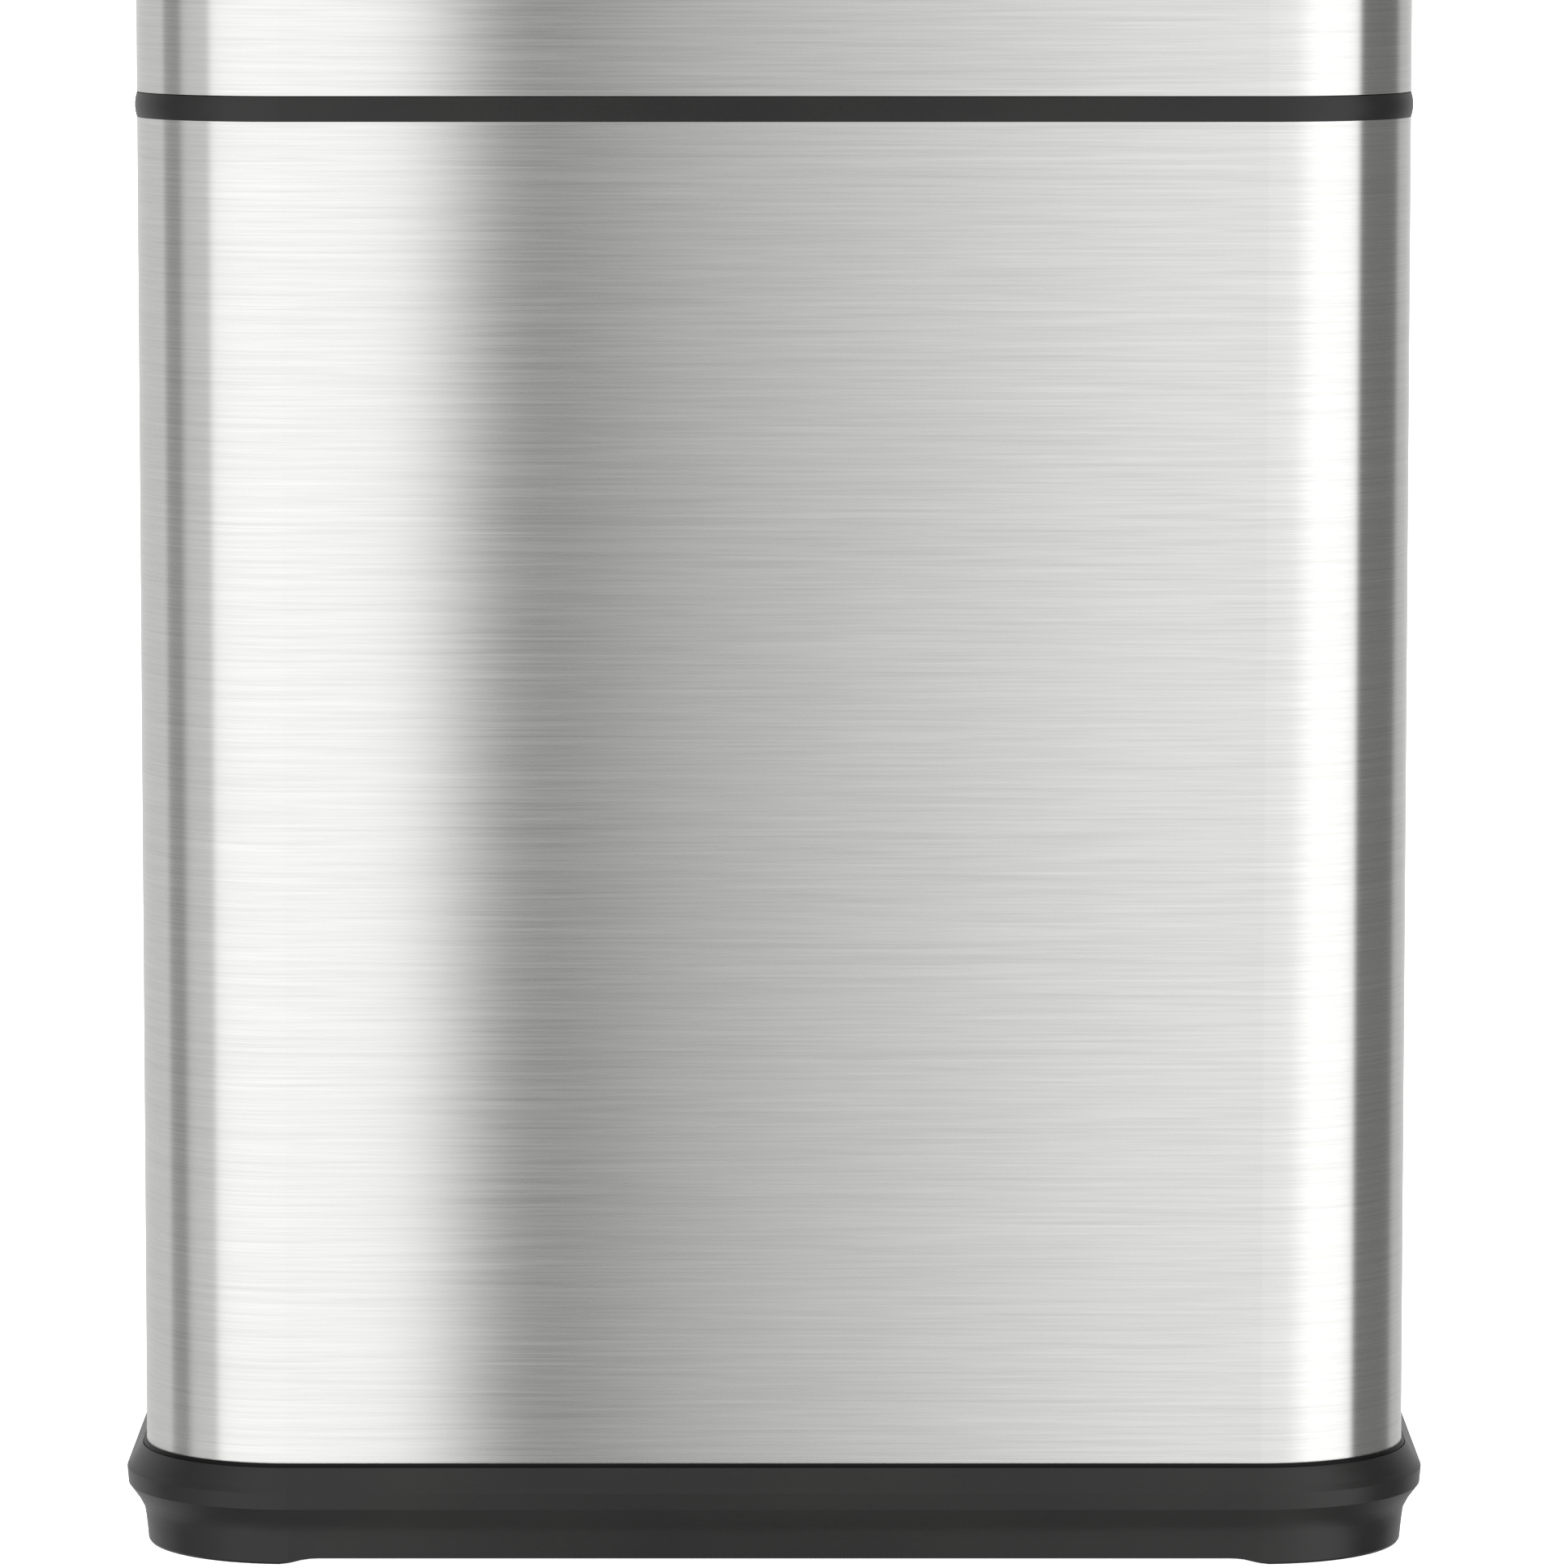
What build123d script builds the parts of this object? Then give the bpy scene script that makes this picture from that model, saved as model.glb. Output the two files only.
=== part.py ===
"""Free-standing kitchen trash compactor: a steel-wrapped bin with a lift-out bucket and a hand-cranked press.

Frame: millimetres, +Z up, +X to the right, -Y the front. The origin is the centre of the footprint on the floor.

The bin is a tall rounded rectangle. A black base tray carries the steel shell, a black trim band caps the
shell and holds the bucket, and a steel-skirted head stands on the band. The hinged lid on the head carries
the press: a crank turns a two-stage telescopic screw, which pushes a square mast and its platen down.
An offset is a distance outward from the steel face, so offsets of parts inside the bin are negative.
"""

import os

from build123d import *

# ---- Driving dimensions -------------------------------------------------------------------------------------
body_width = 450.0  # over the steel faces
body_depth = 320.0
corner_radius = 53.0
sheet = 0.8  # steel wrap thickness
fit_gap = 0.3  # between faces of pieces that move apart
running_gap = 0.05  # radial, shaft in hole
thin_wall = 2.2  # moulded walls

# Base tray
rim_z = 35.7  # where the steel comes out of the base lip
seat_drop = 6.0  # the shell stands this far below the rim
deck_thickness = 3.0
lip_gap = 1.1  # groove between shell and base lip
lip_rounding = 1.6
flange_overhang = 7.1
flange_slope = 8.6  # the flange's upper face falls this far
flange_taper = 0.5  # the flange's edge leans in this much
flange_drop = 14.4  # from the rim to the top of the cove
cove_height = 12.3
cove_foot = 0.35  # offset of the cove's foot
base_wall = 3.0
base_wall_inset = 0.45  # the foot of the base wall lies inside the steel face
toe_rounding = 0.8
base_rib_height = 14.0
base_rib_spacing = (105.0, 90.0)
bucket_rest_spacing = 100.0
foot_clearance = 0.3  # the moulded feet end this far above the floor, so that the pads carry the bin
skirt_clearance = 2.5  # the edge between the feet is this far above the floor
foot_length = 47.0  # the feet run this far from the ends of each side
foot_blend = 17.0  # the edge rises over this length beside each foot
foot_post_inset = 42.0
foot_post_radius = 17.0
pad_radius = 14.0
pad_thickness = 3.4

# Shell and trim band
shell_height = 474.0  # steel between the base lip and the band
flange_width = 11.0
seam_width = 0.9
seam_depth = 0.3
band_height = 8.7
band_bulge = 0.7
band_skirt = 14.0  # the band's leg reaches this far down inside the steel
leg_thickness = 2.5
fit_in_steel = 0.1  # between the steel and what is pushed inside it
ledge_rise = 3.5  # the bucket's ledge stands this far above the band's foot
ledge_inner = 11.0
ledge_thickness = 2.5
band_wall = 4.3  # the band's upright wall outside the bucket's rim

# Self-tapping screws used throughout
screw_radius = 1.75
screw_head_radius = 3.5
screw_head_height = 2.2
screw_length = 12.0
screw_hole_gap = 0.25
boss_radius = 4.2

# Bucket
bucket_inset = 13.0  # bucket wall below the rim, at the top
bucket_draft = 12.0  # the wall comes in this much by the floor
bucket_floor_gap = 1.3
bucket_rim_thickness = 2.5
hand_hole_width = 92.0
hand_hole_height = 24.0
hand_hole_drop = 42.0

# Head
skirt_height = 92.0
deck_rim = 3.0  # thickness of the head's top deck
deck_edge = 0.8  # chamfer round the deck
throat_inset = 21.0  # opening for the rubbish
throat_reach = 98.0  # throat wall below the deck
throat_rear_gap = 10.0  # the opening ends this far in front of the lid's rear edge
spigot_gap = 0.5

# Lid and its hinge
lid_inset = 1.5
lid_height = 20.2
lid_wall = 2.5
lid_edge_fillet = 8.0
hinge_inset = 14.0  # hinge axis to the rear face
hinge_rise = 8.6  # hinge axis above the deck
hinge_barrel_radius = 10.5
knuckle_radius = 8.0
knuckle_width = 22.0
knuckle_x = 110.0
hinge_pin_radius = 2.5
hinge_pin_length = 52.0
hinge_cover_length = 300.0
lid_rear_corner = 30.0
seal_thickness = 1.4
panel_thickness = 2.5

# Press
press_y = 8.0  # the press stands behind the middle, so that the platen swings clear of the front
stage_stroke = 70.0
mast_side = 64.0
mast_wall = 2.0
mast_step = 8.0  # each stage is this much narrower than the one outside it
mast_overlap = 36.0  # what the outer stage is longer than one stroke
mast_mouth_step = 4.0  # each stage's foot stands this far below the one outside it
mast_corner = 4.0
mast_plate_side = 96.0
mast_plate = 3.0
glide_height = 7.0
glide_gap = 0.15
washer_radius = 15.0
washer_thickness = 2.0
collar_thickness = 3.0
nut_height = 12.0
spin_flange_radius = 13.0
spin_flange = 3.8
spin_neck = 1.5
shank_radius = 8.0
drive_screw_radius = 8.5
hollow_screw_radius = 14.0
hollow_screw_bore = 9.2
thread_pitch = 5.0
thread_depth = 1.0
platen_side_gap = 6.0  # between the wiper and the throat
platen_rear_gap = 3.0
platen_plate = 3.0
platen_rim = 10.0
platen_foot_side = 84.0
platen_rib_spacing = 54.0
platen_rib_drop = 3.0  # the ribs end this far below the platen's rim
wiper_reach = 4.0
wiper_height = 4.0

# Crank
well_margin = 38.25  # from the crank's well to the lid's edge
well_depth = 7.0
crank_well_gap = 20.0  # from the knob's axis to the edge of the well
crank_width = 22.0
crank_thickness = 7.0
hub_radius = 17.0
knob_radius = 11.5
knob_height = 26.5
knob_pin_radius = 3.0
knob_pin_head = 5.0
bush_wall = 2.5
bush_flange = 1.0

# Lid lock: a slider whose bolt goes under the head's deck
lock_travel = 13.0
lock_width = 40.0
lock_bolt = 4.0
lock_gap = 2.0  # bolt below the deck
lock_stem_width = 10.0
lock_stem_depth = 8.0
keeper_thickness = 1.5
keeper_overhang = 11.0  # the keeper runs this far past each end of the bolt
keeper_screw_offset = 5.0

# Turn locks: levers that hold the head down on the shell
turn_lock_rise = 50.0  # axis above the band
turn_knob_radius = 15.0
turn_knob_thickness = 5.5
turn_shaft_radius = 3.0
grip_bar = 6.4  # the bar that the fingers turn
grip_floor = 2.5
grip_hollow = 9.5
lever_thickness = 1.8
lever_inset = 1.4  # outer face of the lever, inside the steel face
lever_reach = 38.0
lever_width = 8.0
toe_reach = 10.0
toe_height = 4.0
catch_width = 10.0
catch_tooth = 7.0
catch_gap = 1.0

# Filter under the lid
filter_x = -125.0  # middle of the filter
filter_width = 94.0
filter_depth = 74.0
filter_height = 10.0

# ---- Levels and sizes worked out from them ------------------------------------------------------------------
deck_z = rim_z - seat_drop
band_z = rim_z + shell_height
head_z = band_z + band_height
ledge_z = band_z + ledge_rise
bucket_rim_top = ledge_z + bucket_rim_thickness
skirt_bottom = head_z + fit_gap
skirt_top = head_z + skirt_height
deck_top = skirt_top + deck_rim
lid_bottom = deck_top + fit_gap
lid_top_z = lid_bottom + lid_height
hinge_z = deck_top + hinge_rise
panel_z = deck_top + fit_gap + seal_thickness  # underside of the lid's inner panel
panel_top = panel_z + panel_thickness
well_floor = lid_top_z - well_depth
well_underside = well_floor - lid_wall
turn_lock_z = head_z + turn_lock_rise
half_width = body_width / 2
half_depth = body_depth / 2
steel_inner = -(sheet + fit_in_steel)  # offset of what is pushed inside the steel
hinge_y = half_depth - hinge_inset
lid_rear_y = hinge_y - hinge_barrel_radius - lid_inset
spigot_offset = -(band_wall + spigot_gap)
throat_front_y = -(half_depth - throat_inset)
throat_rear_y = lid_rear_y - throat_rear_gap
throat_width = body_width - 2 * throat_inset
throat_depth = throat_rear_y - throat_front_y
throat_middle_y = (throat_rear_y + throat_front_y) / 2

well_radius = (half_depth - lid_inset + lid_rear_y) / 2 - well_margin
crank_reach = well_radius - crank_well_gap
mast_length = stage_stroke + mast_overlap

outer_side = mast_side
middle_side = mast_side - mast_step
inner_side = mast_side - 2 * mast_step
mast_plate_z = panel_z - mast_plate
collar_top = mast_plate_z - washer_thickness - fit_gap
outer_foot = panel_z - mast_length
middle_foot = outer_foot - mast_mouth_step
platen_z = middle_foot - mast_mouth_step  # upper face of the platen's plate
middle_nut_height = nut_height + spin_neck
middle_top = collar_top - collar_thickness - 0.5
middle_nut_foot = middle_top - middle_nut_height
inner_top = middle_nut_foot - 1.0
platen_width = throat_width - 2 * (platen_side_gap + wiper_reach)
platen_depth = 2 * (throat_rear_y - platen_rear_gap - wiper_reach - press_y)
platen_corner = corner_radius - throat_inset + wiper_reach

# ---- Helpers that draw in the builder in hand ---------------------------------------------------------------
def outline(offset=0.0, mode=Mode.ADD):
    """The body's plan, moved outward by offset."""
    return RectangleRounded(
        body_width + 2 * offset, body_depth + 2 * offset, corner_radius + offset, mode=mode
    )


def ring(outer, inner, z, height):
    """A vertical wall that follows the body's plan between two offsets."""
    with BuildSketch(Plane.XY.offset(z)) as wall:
        outline(outer)
        outline(inner, mode=Mode.SUBTRACT)
    extrude(wall.sketch, amount=height)


def sweep_round_body(profile):
    """Sweeps a face drawn on front_section round the body's plan."""
    with BuildLine() as path:
        x, y, r = half_width, half_depth, corner_radius
        start = Line((0, -y), (-(x - r), -y))
        left = JernArc(start @ 1, start % 1, r, -90)
        side = Line(left @ 1, (-x, y - r))
        back_left = JernArc(side @ 1, side % 1, r, -90)
        back = Line(back_left @ 1, (x - r, y))
        back_right = JernArc(back @ 1, back % 1, r, -90)
        right = Line(back_right @ 1, (x, -(y - r)))
        front_right = JernArc(right @ 1, right % 1, r, -90)
        Line(front_right @ 1, (0, -y))
    sweep(sections=profile, path=path.wire())


front_section = Plane(origin=(0, -half_depth, 0), x_dir=(0, -1, 0), z_dir=(-1, 0, 0))  # x outward, y up


def throat_outline(offset=0.0, mode=Mode.ADD):
    """The opening that the rubbish goes through, moved outward by offset."""
    with Locations((0, throat_middle_y)):
        corner = corner_radius - throat_inset + offset
        RectangleRounded(throat_width + 2 * offset, throat_depth + 2 * offset, corner, mode=mode)


def lid_outline(offset=0.0):
    """The lid's plan: the body's, ended in front of the hinge. It comes first in its sketch."""
    outline(offset - lid_inset)
    width = body_width + 2 * (offset - lid_inset)
    depth = 2 * body_depth
    with Locations((0, lid_rear_y + offset - depth / 2)):
        RectangleRounded(width, depth, lid_rear_corner + offset, mode=Mode.INTERSECT)


def square_tube(side, corner, bore, bore_corner, z, height):
    """A square tube on the press's axis."""
    with BuildSketch(Plane((0, press_y, z))) as section:
        RectangleRounded(side, side, corner)
        RectangleRounded(bore, bore, bore_corner, mode=Mode.SUBTRACT)
    extrude(section.sketch, amount=height)


def mast_tube(side, z, height):
    """One stage of the mast."""
    square_tube(side, mast_corner, side - 2 * mast_wall, mast_corner - 1.0, z, height)


def round_bar(radius, z, height, x=0.0, y=press_y, mode=Mode.ADD):
    """An upright cylinder from z."""
    with Locations((x, y, z + height / 2)):
        Cylinder(radius, height, mode=mode)


def block(x_range, y_range, z_range, mode=Mode.ADD):
    """A box between two corners."""
    centre = [(low + high) / 2 for low, high in (x_range, y_range, z_range)]
    size = [high - low for low, high in (x_range, y_range, z_range)]
    with Locations(tuple(centre)):
        Box(*size, mode=mode)


def thread(radius, z_low, z_high):
    """Rings of thread cut into the bar in hand."""
    turns = int((z_high - z_low) / thread_pitch)
    for turn in range(turns):
        z = z_low + (turn + 0.5) * thread_pitch
        with BuildSketch(Plane((0, press_y, z))) as groove:
            Circle(radius + 0.5)
            Circle(radius - thread_depth, mode=Mode.SUBTRACT)
        extrude(groove.sketch, amount=thread_pitch / 4, both=True, mode=Mode.SUBTRACT)


def screw(x, y, seat_z, down=True, length=screw_length):
    """A pan-head screw: its shank runs down, or up, from seat_z."""
    way = -1 if down else 1
    with Locations((x, y, seat_z + way * length / 2)):
        Cylinder(screw_radius, length)
    with Locations((x, y, seat_z - way * screw_head_height / 2)):
        Cylinder(screw_head_radius, screw_head_height)
    slot_z = seat_z - way * (screw_head_height - 0.5)
    with Locations((x, y, slot_z)):
        Box(4.0, 0.8, 1.01, mode=Mode.SUBTRACT)
        Box(0.8, 4.0, 1.01, mode=Mode.SUBTRACT)


def save(builder, name):
    """Writes one finished piece."""
    builder.part.label = name
    export_step(builder.part, f"parts/{name}.step")


os.makedirs("parts", exist_ok=True)

# ============================== The bin body =================================================================
shell_screw_offset = -(sheet + flange_width) / 2
shell_screw_x = half_width + shell_screw_offset
shell_screw_y = half_depth + shell_screw_offset
screw_pitch = body_width / 4
shell_screws_at = [(x, side * shell_screw_y) for x in (-screw_pitch, 0.0, screw_pitch) for side in (-1, 1)]
shell_screws_at += [(side * shell_screw_x, 0.0) for side in (-1, 1)]
foot_posts = [
    (sx * (half_width - foot_post_inset), sy * (half_depth - foot_post_inset))
    for sx in (-1, 1)
    for sy in (-1, 1)
]

# Base tray: the flared skirt is swept round the body, and a ribbed deck closes it.
cove_top = rim_z - flange_drop
cove_bottom = cove_top - cove_height
deck_foot = deck_z - deck_thickness
wall_inside = -base_wall_inset - base_wall
with BuildPart() as base_tray:
    with BuildSketch(front_section) as skirt_profile:
        with BuildLine():
            up = Line((lip_gap, deck_z), (lip_gap, rim_z - lip_rounding))
            lip = Line(up @ 1, (lip_gap + 0.5, rim_z - 1.2))
            slope = Line(lip @ 1, (flange_overhang, rim_z - flange_slope))
            edge = Line(slope @ 1, (flange_overhang - flange_taper, cove_top))
            cove = Spline(
                edge @ 1,
                (flange_overhang - 3.3, cove_top - 0.3 * cove_height),
                (cove_foot + 1.3, cove_top - 0.58 * cove_height),
                (cove_foot, cove_bottom),
                tangents=((-0.7, -1), (-0.09, -1)),
            )
            foot = Line(cove @ 1, (-base_wall_inset, foot_clearance + toe_rounding))
            toe = Line(foot @ 1, (-base_wall_inset - 0.7 * toe_rounding, foot_clearance))
            sole = Line(toe @ 1, (wall_inside, foot_clearance))
            inside = Line(sole @ 1, (wall_inside, cove_bottom))
            inside_cove = Line(inside @ 1, (-base_wall, deck_foot))
            Polyline(inside_cove @ 1, (-base_wall, deck_z), up @ 0)
        make_face()
    sweep_round_body(skirt_profile.sketch)
    with BuildSketch(Plane.XY.offset(deck_foot)):
        outline(-base_wall)
    extrude(amount=deck_thickness)
    # The edge is cut back between the feet, with an S-shaped run up from each foot.
    for cut_plane, reach, half_side in ((Plane.XZ, body_depth, half_width), (Plane.YZ, body_width, half_depth)):
        inner = half_side - foot_length
        with BuildSketch(cut_plane):
            with BuildLine():
                low = foot_clearance - 0.1
                bend = inner - foot_blend / 2
                raised = inner - foot_blend
                rise = Bezier((-inner, low), (-bend, low), (-bend, skirt_clearance), (-raised, skirt_clearance))
                fall = Bezier((raised, skirt_clearance), (bend, skirt_clearance), (bend, low), (inner, low))
                Line(rise @ 1, fall @ 0)
                Line(fall @ 1, rise @ 0)
            make_face()
        extrude(amount=reach, both=True, mode=Mode.SUBTRACT)
    # Ribs under the deck
    between_walls = 2 * (base_wall_inset + base_wall) - 1
    with Locations((0, 0, deck_foot - base_rib_height / 2)):
        with GridLocations(0, base_rib_spacing[1], 1, 3):
            Box(body_width - between_walls, thin_wall, base_rib_height)
        with GridLocations(base_rib_spacing[0], 0, 4, 1):
            Box(thin_wall, body_depth - between_walls, base_rib_height)
    # Rests that stop just under the bucket's floor
    rest_height = seat_drop + bucket_floor_gap - fit_gap
    with Locations((0, 0, deck_z + rest_height / 2)):
        with GridLocations(bucket_rest_spacing, 0, 4, 1):
            Box(6.0, body_depth - 120.0, rest_height)
    # Posts for the pads, and bosses for the shell screws
    pad_recess = 1.0
    post_foot = pad_thickness - pad_recess
    for x, y in foot_posts:
        round_bar(foot_post_radius, post_foot, deck_foot - post_foot, x, y)
        round_bar(pad_radius + fit_in_steel, post_foot, pad_recess, x, y, mode=Mode.SUBTRACT)
        round_bar(foot_post_radius - thin_wall, pad_thickness + deck_thickness, deck_z, x, y, mode=Mode.SUBTRACT)
    for x, y in shell_screws_at:
        round_bar(boss_radius, deck_z - screw_length - 1, screw_length - 1, x, y)
        round_bar(screw_radius, deck_z - screw_length, screw_length, x, y, mode=Mode.SUBTRACT)
save(base_tray, "base_tray")

# Four rubber pads, glued under the posts
with BuildPart() as foot_pads:
    with Locations(*[(x, y, pad_thickness / 2) for x, y in foot_posts]):
        Cylinder(pad_radius, pad_thickness)
    fillet(foot_pads.edges().filter_by(GeomType.CIRCLE).group_by(Axis.Z)[0], 0.8)
save(foot_pads, "foot_pads")

# Outer shell: one sheet of steel wrapped round, seamed at the back, with an inward foot flange
with BuildPart() as outer_shell:
    ring(0, -sheet, deck_z, band_z - deck_z)
    ring(-sheet / 2, -flange_width, deck_z, sheet)
    with Locations((0, half_depth, (rim_z + band_z) / 2)):
        Box(seam_width, 2 * seam_depth, shell_height, mode=Mode.SUBTRACT)
    with Locations(*[(x, y, deck_z + sheet / 2) for x, y in shell_screws_at]):
        Cylinder(screw_radius + screw_hole_gap, 2 * sheet, mode=Mode.SUBTRACT)
save(outer_shell, "outer_shell")

with BuildPart() as shell_screws:
    for x, y in shell_screws_at:
        screw(x, y, deck_z + sheet)
save(shell_screws, "shell_screws")

# Trim band: caps the shell, shows as the black line, and holds the bucket on its inner ledge
catch_y = toe_reach + 2.0
tooth_z = turn_lock_z - lever_reach + toe_height + catch_gap
catch_foot = 6.0  # set into the band
lever_offset = -(lever_inset + lever_thickness / 2)
catch_rows = [side * (half_width + lever_offset) for side in (-1, 1)]
with BuildPart() as trim_band:
    with BuildSketch(front_section) as band_profile:
        with BuildLine():
            Polyline(
                (0, head_z),
                (-band_wall, head_z),
                (-band_wall, ledge_z),
                (-ledge_inner, ledge_z),
                (-ledge_inner, ledge_z - ledge_thickness),
                (steel_inner - leg_thickness, ledge_z - ledge_thickness),
                (steel_inner - leg_thickness, band_z - band_skirt),
                (steel_inner, band_z - band_skirt),
                (steel_inner, band_z),
                (0, band_z),
            )
            ThreePointArc((0, band_z), (band_bulge, band_z + band_height / 2), (0, head_z))
        make_face()
    sweep_round_body(band_profile.sketch)
    with Locations(*[(x, catch_y + catch_width / 2, head_z - catch_foot / 2) for x in catch_rows]):
        Box(lever_thickness, catch_width, catch_foot, mode=Mode.SUBTRACT)
save(trim_band, "trim_band")

# Lock catches: two steel hooks set into the band, for the head's turn locks
tooth_height = 4.0
with BuildPart() as lock_catches:
    for x in catch_rows:
        span = (x - lever_thickness / 2, x + lever_thickness / 2)
        top = tooth_z + tooth_height
        block(span, (catch_y, catch_y + catch_width), (head_z - catch_foot, top))
        block(span, (catch_y - catch_tooth, catch_y), (tooth_z, top))
save(lock_catches, "lock_catches")

# ============================== The bucket ===================================================================
bucket_bottom = rim_z + bucket_floor_gap
hand_hole_z = ledge_z - hand_hole_drop
with BuildPart() as inner_bucket:
    hollow_floor = bucket_bottom + thin_wall + 0.8
    for inset, floor_z, mode in ((0.0, bucket_bottom, Mode.ADD), (thin_wall, hollow_floor, Mode.SUBTRACT)):
        with BuildSketch(Plane.XY.offset(floor_z)):
            outline(-bucket_inset - bucket_draft - inset)
        with BuildSketch(Plane.XY.offset(bucket_rim_top)):
            outline(-bucket_inset - inset)
        loft(mode=mode)
    ring(spigot_offset, -bucket_inset - thin_wall / 2, ledge_z, bucket_rim_thickness)
    with BuildSketch(Plane.YZ):
        with Locations((0, hand_hole_z)):
            SlotOverall(hand_hole_width, hand_hole_height)
    extrude(amount=body_width, both=True, mode=Mode.SUBTRACT)
save(inner_bucket, "inner_bucket")

# Bag ring: traps the bag's edge on the bucket's rim
bag_ring_outer = spigot_offset - thin_wall - 0.4
bag_ring_inner = -bucket_inset - thin_wall - 2.2
bag_ring_plate = 2.0
bag_ring_drop = 14.0
bag_ring_lip = 1.1
with BuildPart() as bag_ring:
    ring(bag_ring_outer, bag_ring_inner, bucket_rim_top, bag_ring_plate)
    lip_top = bag_ring_plate + bag_ring_drop
    ring(bag_ring_inner + bag_ring_lip, bag_ring_inner, bucket_rim_top - bag_ring_drop, lip_top)
save(bag_ring, "bag_ring")

# ============================== The head =====================================================================
with BuildPart() as head_skirt:
    ring(0, -sheet, skirt_bottom, skirt_top - skirt_bottom)
    with Locations((0, half_depth, (skirt_bottom + skirt_top) / 2)):
        Box(seam_width, 2 * seam_depth, skirt_height, mode=Mode.SUBTRACT)
    with Locations((0, 0, turn_lock_z)):
        shaft_hole = turn_shaft_radius + running_gap
        Cylinder(shaft_hole, body_width + 1, rotation=(0, 90, 0), mode=Mode.SUBTRACT)
save(head_skirt, "head_skirt")

# Foot ring: stiffens the skirt's lower edge, and its spigot drops inside the trim band
foot_ring_height = 9.0
notch_inset = lever_inset + lever_thickness + 0.5
with BuildPart() as head_foot_ring:
    ring(-sheet, -sheet - leg_thickness, skirt_bottom, foot_ring_height)
    ring(-sheet, spigot_offset - thin_wall, skirt_bottom, thin_wall)
    spigot_foot = bucket_rim_top + fit_gap
    ring(spigot_offset, spigot_offset - thin_wall, spigot_foot, skirt_bottom - spigot_foot)
    notch_y = (catch_y - catch_tooth - 1.5, catch_y + catch_width + 1.5)
    notch_z = (skirt_bottom - 0.5, skirt_bottom + foot_ring_height + 0.5)
    for side in (-1, 1):
        notch_x = sorted((side * (half_width - notch_inset), side * (half_width + 1)))
        block(notch_x, notch_y, notch_z, mode=Mode.SUBTRACT)
save(head_foot_ring, "head_foot_ring")

# Head frame: the deck, the throat that the rubbish goes through, and the hinge cover
knuckle_slot = knuckle_width + 2.0
bolt_top = skirt_top - lock_gap
bolt_z = (bolt_top - lock_bolt, bolt_top)
cover_top = hinge_z + hinge_barrel_radius
with BuildPart() as head_frame:
    with BuildSketch(Plane.XY.offset(skirt_top)):
        outline()
        throat_outline(mode=Mode.SUBTRACT)
    extrude(amount=deck_rim)
    chamfer(head_frame.faces().sort_by(Axis.Z)[-1].outer_wire().edges(), deck_edge)
    ring(steel_inner, steel_inner - leg_thickness, skirt_top - band_skirt, band_skirt)
    with BuildSketch(Plane.XY.offset(deck_top - throat_reach)):
        throat_outline(thin_wall)
        throat_outline(mode=Mode.SUBTRACT)
    extrude(amount=throat_reach)
    with Locations((0, hinge_y, (deck_top + hinge_z) / 2)):
        Box(hinge_cover_length, 2 * hinge_barrel_radius, hinge_rise)
    with Locations((0, hinge_y, hinge_z)):
        Cylinder(hinge_barrel_radius, hinge_cover_length, rotation=(0, 90, 0))
    for side in (-1, 1):
        with Locations((side * knuckle_x, hinge_y, (deck_top + cover_top + 1) / 2)):
            slot_depth = 2 * hinge_barrel_radius + 2
            Box(knuckle_slot, slot_depth, cover_top + 1 - deck_top, mode=Mode.SUBTRACT)
        with Locations((side * knuckle_x, hinge_y, hinge_z)):
            Cylinder(hinge_pin_radius, hinge_pin_length, rotation=(0, 90, 0), mode=Mode.SUBTRACT)
    window = lock_width / 2 + 2.0
    window_y = (throat_front_y - thin_wall - 1, throat_front_y + 1)
    block((-window, window), window_y, (bolt_z[0] - 1, bolt_z[1] + 1), mode=Mode.SUBTRACT)
save(head_frame, "head_frame")

with BuildPart() as hinge_pins:
    with Locations(*[(side * knuckle_x, hinge_y, hinge_z) for side in (-1, 1)]):
        Cylinder(hinge_pin_radius, hinge_pin_length, rotation=(0, 90, 0))
save(hinge_pins, "hinge_pins")

# Keeper: a steel strip under the deck that the lid's bolt bears on
keeper_half = lock_width / 2 + keeper_overhang
keeper_y = (throat_front_y - 16.0, throat_front_y - 4.0)
keeper_screw_x = lock_width / 2 + keeper_screw_offset
keeper_screw_y = sum(keeper_y) / 2
with BuildPart() as lock_keeper:
    block((-keeper_half, keeper_half), keeper_y, (skirt_top - keeper_thickness, skirt_top))
    for side in (-1, 1):
        hole = screw_radius + screw_hole_gap
        round_bar(hole, skirt_top - 3, 4, side * keeper_screw_x, keeper_screw_y, mode=Mode.SUBTRACT)
save(lock_keeper, "lock_keeper")

with BuildPart() as keeper_screws:
    for side in (-1, 1):
        seat = skirt_top - keeper_thickness
        screw(side * keeper_screw_x, keeper_screw_y, seat, down=False, length=keeper_thickness)
save(keeper_screws, "keeper_screws")

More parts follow.
